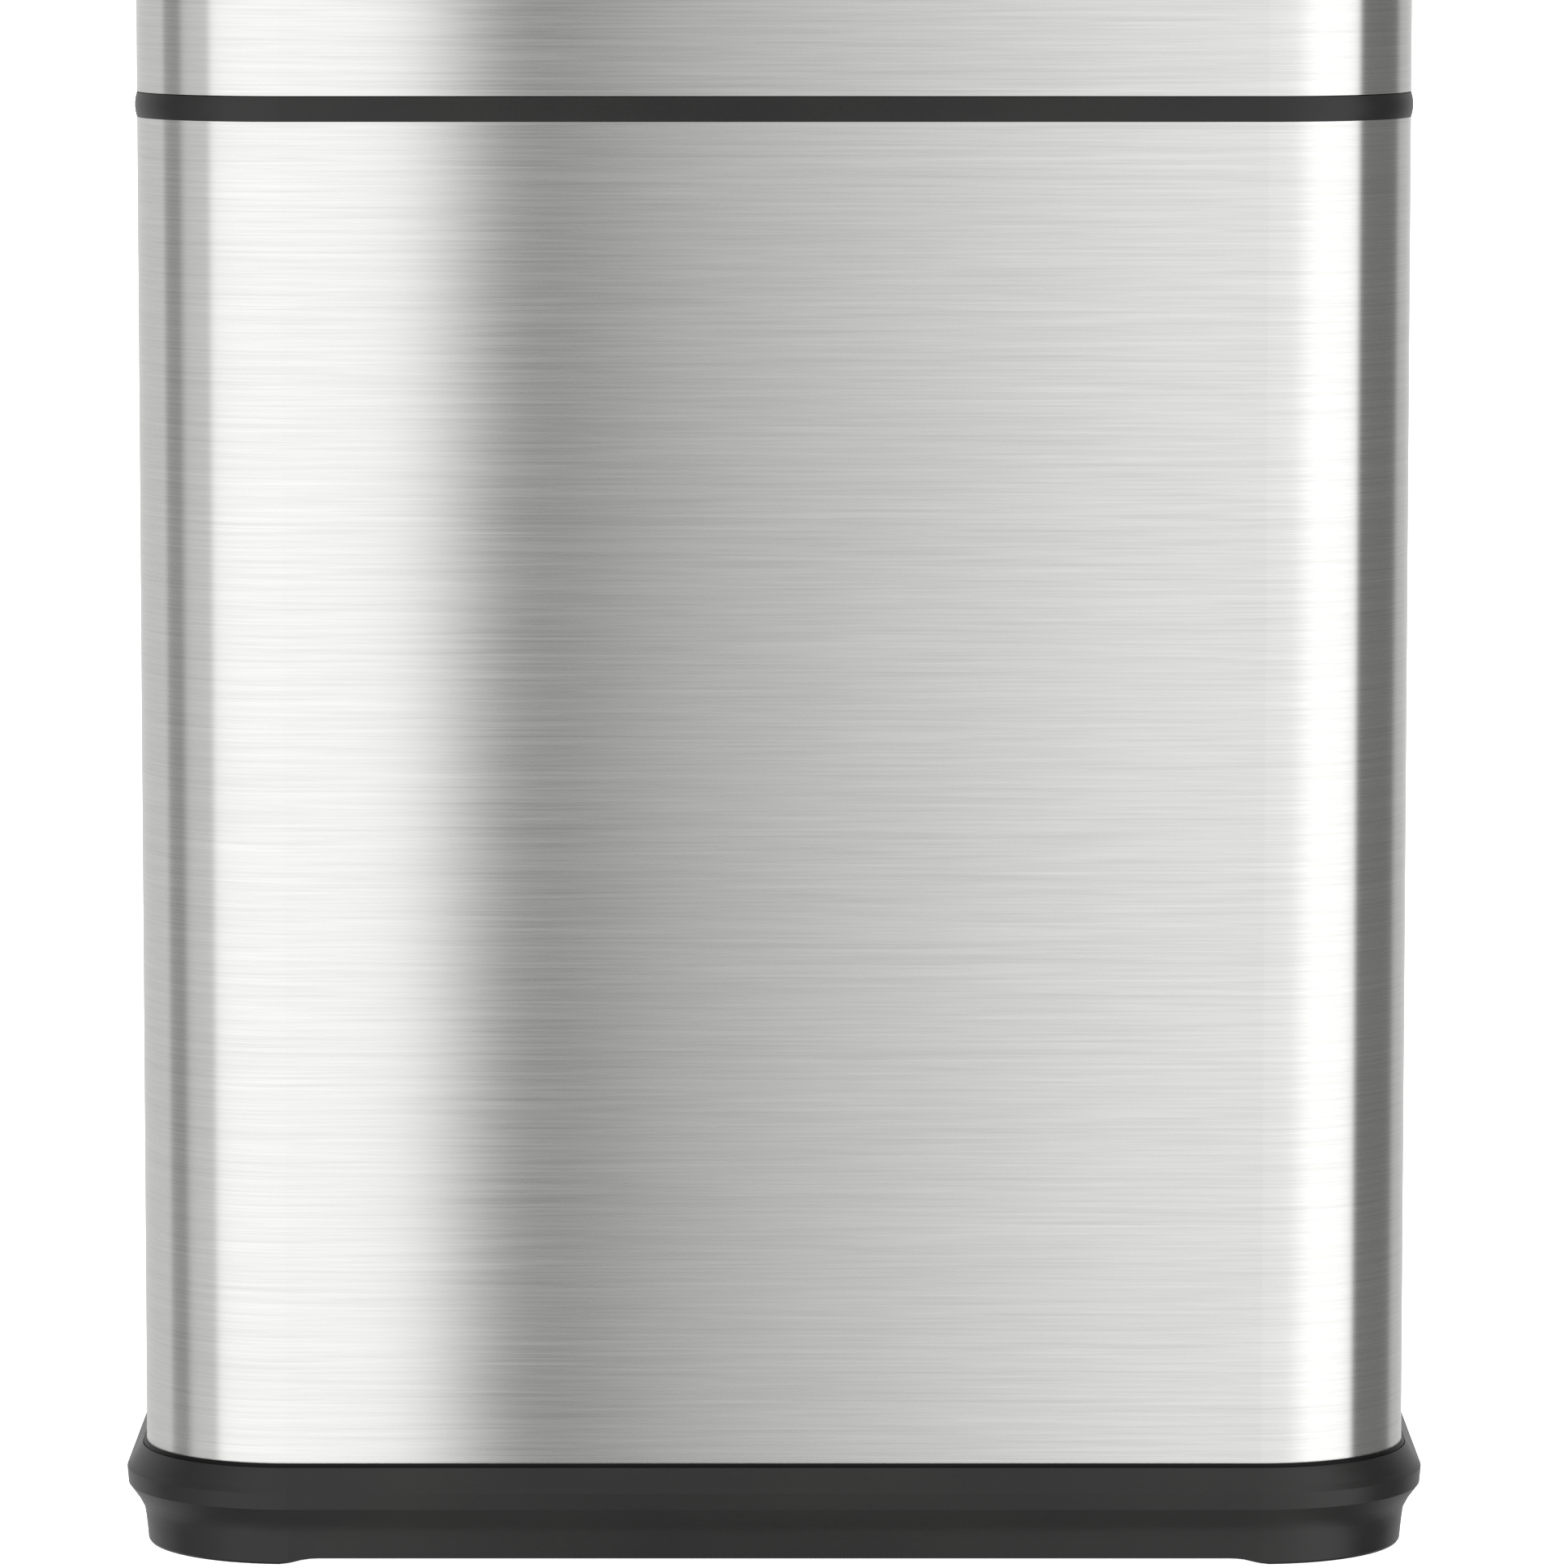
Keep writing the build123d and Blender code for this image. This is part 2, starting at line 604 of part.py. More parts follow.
# Turn locks, one each side: a lever inside the skirt and a round grip outside
for side, name in ((-1, "left"), (1, "right")):
    lever_outer = half_width - lever_inset
    grip_inner = half_width + fit_gap
    shaft_end = grip_inner + 3.0
    lever_span = sorted((side * (lever_outer - lever_thickness), side * lever_outer))
    grip_span = sorted((side * grip_inner, side * (grip_inner + turn_knob_thickness)))
    bar_span = sorted((side * lever_outer, side * shaft_end))
    with BuildPart() as lever:
        half = lever_width / 2
        block(lever_span, (-lever_reach, 0), (turn_lock_z - half, turn_lock_z + half))
        block(lever_span, (-lever_reach, -lever_reach + toe_height), (turn_lock_z - toe_reach, turn_lock_z))
        with Locations((sum(lever_span) / 2, 0, turn_lock_z)):
            Cylinder(lever_width / 2 + 3.0, lever_thickness, rotation=(0, 90, 0))
        with Locations((sum(bar_span) / 2, 0, turn_lock_z)):
            Cylinder(turn_shaft_radius, bar_span[1] - bar_span[0], rotation=(0, 90, 0))
    save(lever, f"lock_lever_{name}")
    with BuildPart() as grip:
        with Locations((sum(grip_span) / 2, 0, turn_lock_z)):
            Cylinder(turn_knob_radius, turn_knob_thickness, rotation=(0, 90, 0))
        outer_face = grip.faces().sort_by(Axis.X)[-1 if side > 0 else 0]
        fillet(outer_face.outer_wire().edges(), 1.5)
        for wing in (-1, 1):
            hollow_x = sorted((side * (grip_inner + grip_floor), side * (grip_inner + 10)))
            hollow_z = sorted((turn_lock_z + wing * grip_bar / 2, turn_lock_z + wing * grip_hollow))
            block(hollow_x, (-grip_hollow, grip_hollow), hollow_z, mode=Mode.SUBTRACT)
        with Locations(((side * (grip_inner + shaft_end) / 2), 0, turn_lock_z)):
            Cylinder(turn_shaft_radius, shaft_end - grip_inner, rotation=(0, 90, 0), mode=Mode.SUBTRACT)
    save(grip, f"lock_grip_{name}")

# ============================== The lid ======================================================================
slot_width = lock_stem_width + 2 * fit_gap
stem_y = throat_front_y + 26.0  # middle of the slider's stem, unlocked
stem_low = stem_y - lock_stem_depth / 2
stem_high = stem_y + lock_stem_depth / 2
slot_y = (stem_low - lock_travel - fit_gap, stem_high + fit_gap)
screw_row_x = half_width - 45.0
front_row_y = throat_front_y + 17.0
rear_row_y = throat_rear_y - 12.0
lid_screws_at = []
for side in (-1, 1):
    lid_screws_at += [(side * 80.0, front_row_y), (side * 75.0, rear_row_y)]
    lid_screws_at += [(side * screw_row_x, y) for y in (front_row_y + 12.0, press_y, rear_row_y - 17.0)]
mast_screw_reach = mast_plate_side / 2 - 8.0
mast_screws_at = [
    (sx * mast_screw_reach, press_y + sy * mast_screw_reach) for sx in (-1, 1) for sy in (-1, 1)
]
bush_radius = shank_radius + bush_wall
with BuildPart() as lid_top:
    with BuildSketch(Plane.XY.offset(lid_bottom)):
        lid_outline()
    extrude(amount=lid_height)
    fillet(lid_top.faces().sort_by(Axis.Z)[-1].outer_wire().edges(), lid_edge_fillet)
    with BuildSketch(Plane.XY.offset(lid_bottom)):
        lid_outline(-lid_wall)
    extrude(amount=well_underside - lid_bottom, mode=Mode.SUBTRACT)
    with BuildSketch(Plane.XY.offset(well_underside)):
        lid_outline(-lid_edge_fillet - lid_wall)
        with Locations((0, press_y)):
            Circle(well_radius + lid_wall, mode=Mode.SUBTRACT)
    extrude(amount=lid_top_z - lid_wall - well_underside, mode=Mode.SUBTRACT)
    round_bar(well_radius, well_floor, well_depth + 1, mode=Mode.SUBTRACT)
    # Bosses down to the panel
    for x, y in lid_screws_at:
        round_bar(boss_radius, panel_top, lid_top_z - lid_wall - panel_top, x, y)
        round_bar(screw_radius, panel_top, screw_length - 4.0, x, y, mode=Mode.SUBTRACT)
    for x, y in mast_screws_at:
        round_bar(boss_radius + 1.0, panel_top, well_underside - panel_top, x, y)
        round_bar(screw_radius, panel_top, 5.5, x, y, mode=Mode.SUBTRACT)
    round_bar(bush_radius + 4.0, panel_top, well_underside - panel_top)
    round_bar(bush_radius, panel_top - 1, well_floor - panel_top + 2, mode=Mode.SUBTRACT)
    block((-slot_width / 2, slot_width / 2), slot_y, (lid_bottom, lid_top_z + 1), mode=Mode.SUBTRACT)
    # Hinge knuckles
    for side in (-1, 1):
        x_span = (side * knuckle_x - knuckle_width / 2, side * knuckle_x + knuckle_width / 2)
        block(x_span, (lid_rear_y - 1, hinge_y), (hinge_z - knuckle_radius, hinge_z + knuckle_radius))
        with Locations((side * knuckle_x, hinge_y, hinge_z)):
            Cylinder(knuckle_radius, knuckle_width, rotation=(0, 90, 0))
            pin_hole = hinge_pin_radius + running_gap
            Cylinder(pin_hole, knuckle_width + 1, rotation=(0, 90, 0), mode=Mode.SUBTRACT)
save(lid_top, "lid_top")

# Inner panel, with the seal glued round its edge
with BuildPart() as lid_panel:
    with BuildSketch(Plane.XY.offset(panel_z)):
        lid_outline(-lid_wall - fit_gap)
    extrude(amount=panel_thickness)
    for x, y in lid_screws_at + mast_screws_at:
        hole = screw_radius + screw_hole_gap
        round_bar(hole, panel_z - 1, panel_thickness + 2, x, y, mode=Mode.SUBTRACT)
    round_bar(bush_radius, panel_z - 1, panel_thickness + 2, mode=Mode.SUBTRACT)
    block((-slot_width / 2, slot_width / 2), slot_y, (panel_z - 1, panel_top + 1), mode=Mode.SUBTRACT)
save(lid_panel, "lid_panel")

seal_inner = 2.0
seal_width = 4.5
with BuildPart() as lid_seal:
    with BuildSketch(Plane.XY.offset(panel_z - seal_thickness)):
        throat_outline(seal_inner + seal_width)
        throat_outline(seal_inner, mode=Mode.SUBTRACT)
    extrude(amount=seal_thickness)
save(lid_seal, "lid_seal")

with BuildPart() as lid_screws:
    for x, y in lid_screws_at:
        screw(x, y, panel_z, down=False, length=8.0)
save(lid_screws, "lid_screws")

# Charcoal filter in a slotted cover
filter_wall = 2.0
with BuildPart() as filter_frame:
    with BuildSketch(Plane((filter_x, press_y, panel_z - filter_height))):
        RectangleRounded(filter_width, filter_depth, 5.0)
        RectangleRounded(filter_width - 2 * filter_wall, filter_depth - 2 * filter_wall, 3.0, mode=Mode.SUBTRACT)
    extrude(amount=filter_height)
save(filter_frame, "filter_frame")

with BuildPart() as filter_pad:
    with BuildSketch(Plane((filter_x, press_y, panel_z - filter_height))):
        RectangleRounded(filter_width - 2 * filter_wall, filter_depth - 2 * filter_wall, 3.0)
    extrude(amount=filter_height - 1.0)
save(filter_pad, "filter_pad")

with BuildPart() as filter_cover:
    with BuildSketch(Plane((filter_x, press_y, panel_z - filter_height - filter_wall))):
        RectangleRounded(filter_width, filter_depth, 5.0)
        with GridLocations(0, 9.0, 1, 6):
            SlotOverall(filter_width - 22.0, 4.0, mode=Mode.SUBTRACT)
    extrude(amount=filter_wall)
save(filter_cover, "filter_cover")

# ============================== The press ====================================================================
with BuildPart() as mast_outer:
    mast_tube(outer_side, outer_foot, mast_plate_z - outer_foot)
    with BuildSketch(Plane((0, press_y, mast_plate_z))):
        RectangleRounded(mast_plate_side, mast_plate_side, 8.0)
    extrude(amount=mast_plate)
    round_bar(shank_radius + 1.0, mast_plate_z - 1, mast_plate + 2, mode=Mode.SUBTRACT)
    for x, y in mast_screws_at:
        hole = screw_radius + screw_hole_gap
        round_bar(hole, mast_plate_z - 1, mast_plate + 2, x, y, mode=Mode.SUBTRACT)
save(mast_outer, "mast_outer")

with BuildPart() as mast_screws:
    for x, y in mast_screws_at:
        screw(x, y, mast_plate_z, down=False, length=mast_plate + panel_thickness + 5.5)
save(mast_screws, "mast_screws")

with BuildPart() as thrust_washer:
    round_bar(washer_radius, mast_plate_z - washer_thickness, washer_thickness)
    round_bar(shank_radius + 0.1, mast_plate_z - 10, 20, mode=Mode.SUBTRACT)
save(thrust_washer, "thrust_washer")

with BuildPart() as crank_bush:
    round_bar(bush_radius, panel_top, well_floor - panel_top)
    round_bar(bush_radius + 3.5, well_floor, bush_flange)
    round_bar(shank_radius + running_gap, panel_z, 30, mode=Mode.SUBTRACT)
save(crank_bush, "crank_bush")


def mouth_glide(side, z):
    """A nylon ring inside the mouth of the stage of this side."""
    bore = side - mast_step + 2 * glide_gap
    inside = side - 2 * mast_wall
    square_tube(inside, mast_corner - 1.0, bore, mast_corner + glide_gap, z, glide_height)


def top_glide(side, z_top):
    """A nylon ring round the top of the stage of this side."""
    outside = side + mast_step - 2 * mast_wall - 2 * glide_gap
    corner = mast_corner - 1.0
    square_tube(outside, corner, side, mast_corner, z_top - glide_height, glide_height)


with BuildPart() as outer_glide:
    mouth_glide(outer_side, outer_foot)
save(outer_glide, "outer_glide")

# Drive screw: a shank in the bush, a collar under the washer, and the screw below
arm_foot = well_floor + bush_flange + fit_gap
arm_top = arm_foot + crank_thickness
collar_foot = collar_top - collar_thickness
drive_foot = outer_foot + 1.0
with BuildPart() as drive_screw:
    round_bar(drive_screw_radius, drive_foot, collar_foot - drive_foot)
    thread(drive_screw_radius, drive_foot + 2, collar_foot - 2)
    round_bar(washer_radius, collar_foot, collar_thickness)
    round_bar(shank_radius, collar_top, arm_top - collar_top)
save(drive_screw, "drive_screw")

with BuildPart() as crank_arm:
    with BuildSketch(Plane((0, press_y, arm_foot))):
        Circle(hub_radius)
        with Locations((crank_reach / 2, 0)):
            SlotCenterToCenter(crank_reach, crank_width)
    extrude(amount=crank_thickness)
    fillet(crank_arm.faces().sort_by(Axis.Z)[-1].outer_wire().edges(), 1.5)
    round_bar(shank_radius, arm_foot - 1, crank_thickness + 2, mode=Mode.SUBTRACT)
    round_bar(knob_pin_radius, arm_foot + 1, crank_thickness, crank_reach, mode=Mode.SUBTRACT)
save(crank_arm, "crank_arm")

with BuildPart() as hub_cap:
    round_bar(hub_radius - 4.0, arm_top, 2.5)
    fillet(hub_cap.faces().sort_by(Axis.Z)[-1].edges(), 1.2)
save(hub_cap, "hub_cap")

knob_foot = arm_top + 0.5
knob_top = knob_foot + knob_height
pin_head_z = knob_top - 3.2
with BuildPart() as crank_pin:
    round_bar(knob_pin_radius, arm_foot + 1, pin_head_z - arm_foot - 1, crank_reach)
    round_bar(knob_pin_head, pin_head_z, 2.0, crank_reach)
save(crank_pin, "crank_pin")

with BuildPart() as crank_knob:
    knob_axis = Plane((crank_reach, press_y, knob_foot), x_dir=(1, 0, 0), z_dir=(0, -1, 0))
    with BuildSketch(knob_axis):
        with BuildLine():
            base = Line((0, 0), (knob_radius - 3.0, 0))
            waist = Spline(
                base @ 1,
                (knob_radius - 3.6, knob_height * 0.25),
                (knob_radius - 0.4, knob_height * 0.68),
                (knob_radius - 1.5, knob_height - 1.5),
            )
            crown = Line(waist @ 1, (knob_radius - 3.2, knob_height))
            Polyline(crown @ 1, (0, knob_height), (0, 0))
        make_face()
    revolve(axis=Axis((crank_reach, press_y, 0), (0, 0, 1)))
    bore = knob_pin_radius + running_gap
    round_bar(bore, knob_foot - 1, knob_height + 2, crank_reach, mode=Mode.SUBTRACT)
    round_bar(knob_pin_head + 0.4, pin_head_z - fit_gap, 10, crank_reach, mode=Mode.SUBTRACT)
save(crank_knob, "crank_knob")

# Middle stage: tube, nut on the drive screw, and two glides
middle_bore = middle_side - 2 * mast_wall
with BuildPart() as mast_middle:
    mast_tube(middle_side, middle_foot, middle_top - middle_foot)
save(mast_middle, "mast_middle")

spin_slot = spin_flange + 2 * fit_gap
with BuildPart() as middle_nut:
    with BuildSketch(Plane((0, press_y, middle_nut_foot))):
        RectangleRounded(middle_bore, middle_bore, mast_corner)
    extrude(amount=middle_nut_height)
    round_bar(drive_screw_radius + running_gap, middle_nut_foot - 1, 30, mode=Mode.SUBTRACT)
    neck_hole = spin_flange_radius - 2.0 + fit_gap
    round_bar(neck_hole, middle_nut_foot - 1, spin_neck + 1, mode=Mode.SUBTRACT)
    round_bar(spin_flange_radius + fit_gap, middle_nut_foot + spin_neck, spin_slot, mode=Mode.SUBTRACT)
save(middle_nut, "middle_nut")

with BuildPart() as middle_glides:
    top_glide(middle_side, middle_top)
    mouth_glide(middle_side, middle_foot)
save(middle_glides, "middle_glides")

# Hollow screw: turns with the drive screw, hangs in the middle nut, and drives the inner nut
hollow_foot = platen_z + mast_plate + 1.0
hollow_top = middle_nut_foot - 0.5
flange_foot = middle_nut_foot + spin_neck + fit_gap
with BuildPart() as hollow_screw:
    round_bar(hollow_screw_radius, hollow_foot, hollow_top - hollow_foot)
    thread(hollow_screw_radius, hollow_foot + 2, hollow_top - 2)
    round_bar(spin_flange_radius - 2.0, hollow_top, flange_foot - hollow_top)
    round_bar(spin_flange_radius, flange_foot, spin_flange)
    round_bar(hollow_screw_bore, hollow_foot - 1, mast_length + 10, mode=Mode.SUBTRACT)
save(hollow_screw, "hollow_screw")

# Inner stage and platen
inner_bore = inner_side - 2 * mast_wall
platen_bolt_reach = platen_foot_side / 2 - 7.0
platen_bolts_at = [
    (sx * platen_bolt_reach, press_y + sy * platen_bolt_reach) for sx in (-1, 1) for sy in (-1, 1)
]
with BuildPart() as mast_inner:
    mast_tube(inner_side, platen_z, inner_top - platen_z)
    with BuildSketch(Plane((0, press_y, platen_z))):
        RectangleRounded(platen_foot_side, platen_foot_side, 6.0)
    extrude(amount=mast_plate)
    for x, y in platen_bolts_at:
        round_bar(screw_radius, platen_z - 1, mast_plate + 2, x, y, mode=Mode.SUBTRACT)
save(mast_inner, "mast_inner")

with BuildPart() as inner_nut:
    with BuildSketch(Plane((0, press_y, inner_top - nut_height))):
        RectangleRounded(inner_bore, inner_bore, mast_corner)
    extrude(amount=nut_height)
    round_bar(hollow_screw_radius + running_gap, inner_top - 20, 30, mode=Mode.SUBTRACT)
save(inner_nut, "inner_nut")

with BuildPart() as inner_glide:
    top_glide(inner_side, inner_top)
save(inner_glide, "inner_glide")

with BuildPart() as platen:
    with BuildSketch(Plane((0, press_y, platen_z - platen_plate))):
        RectangleRounded(platen_width, platen_depth, platen_corner)
    extrude(amount=platen_plate)
    with BuildSketch(Plane((0, press_y, platen_z))):
        RectangleRounded(platen_width, platen_depth, platen_corner)
        inner_corner = platen_corner - thin_wall
        inside = (platen_width - 2 * thin_wall, platen_depth - 2 * thin_wall)
        RectangleRounded(*inside, inner_corner, mode=Mode.SUBTRACT)
    extrude(amount=platen_rim)
    rib_rise = platen_rim - platen_rib_drop
    with Locations((0, press_y, platen_z + rib_rise / 2)):
        with GridLocations(platen_rib_spacing, 0, 7, 1):
            Box(thin_wall, platen_depth - thin_wall, rib_rise)
        with GridLocations(0, platen_rib_spacing, 1, 3):
            Box(platen_width - thin_wall, thin_wall, rib_rise)
        pocket = platen_foot_side + 4.0
        Box(pocket, pocket, rib_rise, mode=Mode.SUBTRACT)
    for x, y in platen_bolts_at:
        round_bar(screw_radius, platen_z - 10, 15, x, y, mode=Mode.SUBTRACT)
save(platen, "platen")

with BuildPart() as platen_bolts:
    for x, y in platen_bolts_at:
        screw(x, y, platen_z + mast_plate, length=mast_plate + platen_plate)
save(platen_bolts, "platen_bolts")

with BuildPart() as platen_wiper:
    with BuildSketch(Plane((0, press_y, platen_z - platen_plate))):
        outside = (platen_width + 2 * wiper_reach, platen_depth + 2 * wiper_reach)
        RectangleRounded(*outside, platen_corner + wiper_reach)
        RectangleRounded(platen_width, platen_depth, platen_corner, mode=Mode.SUBTRACT)
    extrude(amount=wiper_height)
save(platen_wiper, "platen_wiper")

# ============================== Lid lock =====================================================================
bolt_y = (throat_front_y + 4.0, stem_high + 4.0)
riser_top = panel_z - fit_gap
tab_foot = lid_top_z + fit_gap
tab_height = 4.0
tab_half_depth = lock_stem_depth / 2 + 3.0
with BuildPart() as lock_slider:
    block((-lock_width / 2, lock_width / 2), bolt_y, bolt_z)
    block((-15.0, 15.0), (stem_low - 6.0, bolt_y[1]), (bolt_z[1], riser_top))
    block((-lock_stem_width / 2, lock_stem_width / 2), (stem_low, stem_high), (riser_top, tab_foot))
    tab_y = (stem_y - tab_half_depth, stem_y + tab_half_depth)
    block((-lock_width / 2, lock_width / 2), tab_y, (tab_foot, tab_foot + tab_height))
    fillet(lock_slider.edges().filter_by(Axis.X).group_by(Axis.Z)[-1], 1.2)
    for row in range(3):
        groove_y = stem_y + (row - 1) * 3.5
        block((-15.0, 15.0), (groove_y - 0.6, groove_y + 0.6), (tab_foot + 3.2, tab_foot + 5), mode=Mode.SUBTRACT)
save(lock_slider, "lock_slider")
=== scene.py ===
import math

import bmesh
import bpy
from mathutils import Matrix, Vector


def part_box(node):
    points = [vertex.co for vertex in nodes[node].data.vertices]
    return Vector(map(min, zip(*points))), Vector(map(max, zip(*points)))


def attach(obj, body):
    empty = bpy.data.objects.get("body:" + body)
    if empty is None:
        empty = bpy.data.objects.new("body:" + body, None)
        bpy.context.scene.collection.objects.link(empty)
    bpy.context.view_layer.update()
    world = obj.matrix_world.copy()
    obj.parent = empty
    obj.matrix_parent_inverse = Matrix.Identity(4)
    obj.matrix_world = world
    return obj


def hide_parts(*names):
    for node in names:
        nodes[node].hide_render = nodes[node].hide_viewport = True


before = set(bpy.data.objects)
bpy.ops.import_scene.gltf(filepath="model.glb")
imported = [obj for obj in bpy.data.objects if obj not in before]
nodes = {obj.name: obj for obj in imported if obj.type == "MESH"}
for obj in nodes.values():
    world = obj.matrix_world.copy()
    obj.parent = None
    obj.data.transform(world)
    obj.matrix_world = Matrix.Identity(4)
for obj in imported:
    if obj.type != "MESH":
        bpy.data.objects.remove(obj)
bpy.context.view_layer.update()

# ==== Base tray ====
# The bin stands on one injection moulding of black polypropylene. Its flared lip stands round the foot of
# the steel, the wall is coved in under the lip, and the edge is raised a little between the four feet.


def linear(hex_colour):
    """An sRGB hex colour as linear red, green, blue and alpha."""
    levels = [int(hex_colour[i:i + 2], 16) / 255 for i in (1, 3, 5)]
    return (*[v / 12.92 if v <= 0.04045 else ((v + 0.055) / 1.055) ** 2.4 for v in levels], 1.0)


def add(tree, kind, inputs=None, **settings):
    """Adds one node. Each input is a plain value, or the socket that it is linked from."""
    made = tree.nodes.new(kind)
    for setting, value in settings.items():
        setattr(made, setting, value)
    for name, value in (inputs or {}).items():
        if isinstance(value, bpy.types.NodeSocket):
            tree.links.new(value, made.inputs[name])
        else:
            made.inputs[name].default_value = value
    return made


def blank_finish(name):
    """A material with nothing in it, and its tree."""
    material = bpy.data.materials.new(name)
    material.use_nodes = True
    material.node_tree.nodes.clear()
    return material, material.node_tree


cloud_scale = 18.0  # clouds about 55 mm across, left by the flow of the melt
duller, shinier = 0.07, 0.05


def moulded(name, dark, light, roughness, grain, depth, specular=0.28, ior=1.49):
    """A moulding. Its skin has a fine grain, grain metres across and depth deep, which breaks up the shine.
    Its colour runs from dark to light with the grain and with faint clouds."""
    material, tree = blank_finish(name)
    place = add(tree, "ShaderNodeTexCoord").outputs["Object"]
    skin = add(
        tree, "ShaderNodeTexNoise", {"Vector": place, "Scale": 1 / grain, "Detail": 3.0, "Roughness": 0.55}
    ).outputs["Fac"]
    flow = add(
        tree, "ShaderNodeTexNoise", {"Vector": place, "Scale": cloud_scale, "Detail": 2.0}
    ).outputs["Fac"]
    mottle = add(tree, "ShaderNodeMath", {0: skin, 1: flow}, operation="MULTIPLY")
    spread = add(tree, "ShaderNodeMapRange", {"Value": mottle.outputs[0], "From Min": 0.15, "From Max": 0.36})
    colour = add(
        tree, "ShaderNodeMix", {0: spread.outputs[0], 6: linear(dark), 7: linear(light)}, data_type="RGBA"
    )
    dull = add(
        tree, "ShaderNodeMapRange",
        {"Value": skin, "From Min": 0.3, "From Max": 0.7,
         "To Min": roughness - shinier, "To Max": roughness + duller},
    )
    bump = add(tree, "ShaderNodeBump", {"Strength": 0.5, "Distance": depth, "Height": skin})
    shader = add(
        tree, "ShaderNodeBsdfPrincipled",
        {"Base Color": colour.outputs[2], "Roughness": dull.outputs[0], "Normal": bump.outputs[0],
         "IOR": ior, "Specular IOR Level": specular},
    )
    add(tree, "ShaderNodeOutputMaterial", {"Surface": shader.outputs[0]})
    return material


def finish_node(material, *names):
    """Gives a finish to pieces whose shape is already right."""
    for name in names:
        mesh = nodes[name].data
        mesh.materials.clear()
        mesh.materials.append(material)


# Injection-moulded polypropylene: satin black, nearly even, with a sheen that widens on curves. The real
# sparked grain is about 0.1 mm, drawn at 0.5 mm so that it shows.
satin_black = moulded(
    "injection_moulded_polypropylene_black", "#0B0B0B", "#121211", 0.36, 0.0005, 0.00003, specular=0.34
)
finish_node(satin_black, "base_tray")

# ==== Foot pads ====
# Four discs of moulded rubber, glued under the posts of the base tray. Rubber is greyer and duller than the
# plastic round it, and a little dusty.
rubber = moulded(
    "compression_moulded_rubber_dark_grey", "#1E1E1D", "#2E2D2B", 0.82, 0.0009, 0.00006, ior=1.52
)
finish_node(rubber, "foot_pads")

# ==== Steel shell ====
# One sheet of stainless steel, 0.8 mm thick, wrapped round the body and joined at the middle of the back. It
# was brushed along its length with an abrasive belt before it was bent, so every scratch lies level.
streak_length = 0.045
broad_streaks = 0.27  # the scale of the broad streaks, as a share of the fine ones'
broad_share = 0.3


def brushed(name, base, roughness, anisotropic, streak_width, contrast, grain="LEVEL"):
    """Metal with fine streaks, level or upright, and broad ones among them. contrast is how far they are
    lighter or darker than base. Highlights are drawn out across the streaks by anisotropic."""
    material, tree = blank_finish(name)
    place = add(tree, "ShaderNodeTexCoord").outputs["Object"]
    long, short = 1 / streak_length, 1 / streak_width
    scales = {"LEVEL": (long, long, short), "UPRIGHT": (short, short, long)}[grain]
    fine_place = add(tree, "ShaderNodeMapping", {"Vector": place, "Scale": scales})
    fine = add(
        tree, "ShaderNodeTexNoise", {"Vector": fine_place.outputs[0], "Scale": 1.0, "Detail": 2.0}
    ).outputs["Fac"]
    broad_scales = [scale * broad_streaks for scale in scales]
    broad_place = add(tree, "ShaderNodeMapping", {"Vector": place, "Scale": broad_scales})
    broad = add(
        tree, "ShaderNodeTexNoise", {"Vector": broad_place.outputs[0], "Scale": 1.0, "Detail": 3.0}
    ).outputs["Fac"]
    both = add(tree, "ShaderNodeMix", {0: broad_share, 2: fine, 3: broad})
    shade = add(
        tree, "ShaderNodeMapRange",
        {"Value": both.outputs[0], "From Min": 0.3, "From Max": 0.7,
         "To Min": 1.0 - contrast, "To Max": 1.0 + contrast},
    )
    colour = add(
        tree, "ShaderNodeVectorMath", {0: linear(base)[:3], "Scale": shade.outputs[0]}, operation="SCALE"
    )
    rough = add(
        tree, "ShaderNodeMapRange",
        {"Value": fine, "From Min": 0.25, "From Max": 0.75,
         "To Min": roughness - 0.02, "To Max": roughness + 0.03},
    )
    bump = add(tree, "ShaderNodeBump", {"Strength": 0.15, "Distance": 0.00001, "Height": fine})
    across = add(tree, "ShaderNodeCombineXYZ", {"Z" if grain == "LEVEL" else "X": 1.0})
    shader = add(
        tree, "ShaderNodeBsdfPrincipled",
        {"Base Color": colour.outputs[0], "Metallic": 1.0, "Roughness": rough.outputs[0],
         "Anisotropic": anisotropic, "Tangent": across.outputs[0], "Normal": bump.outputs[0]},
    )
    add(tree, "ShaderNodeOutputMaterial", {"Surface": shader.outputs[0]})
    return material


# Belt-brushed stainless steel: warm pale grey, with highlights that run from top to bottom. The real
# scratches are about 0.05 mm wide, drawn at 0.55 mm, the finest that shows.
brushed_steel = brushed("belt_brushed_stainless_steel", "#CCCCCA", 0.27, 1.0, 0.00055, 0.11)
finish_node(brushed_steel, "outer_shell")

# ==== Joint at the back of the shell ====
# The sheet's two ends meet at the middle of the back. A strip of the same steel lies over the joint, with
# its edges rolled down, and a row of spot welds holds it.
strip_half = 0.008
strip_rise = 0.0009
strip_roll = 0.0006
back_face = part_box("outer_shell")[1].y
shell_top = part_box("outer_shell")[1].z
shell_foot = 0.0368
strip_gap = 0.0003  # the strip stops this far from an edge
roll_steps = 4


def piece_from(name, mesh, material, body):
    """A finished piece at the origin, on its body."""
    piece = bpy.data.objects.new(name, mesh)
    bpy.context.scene.collection.objects.link(piece)
    if material:
        mesh.materials.append(material)
    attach(piece, body)
    return piece


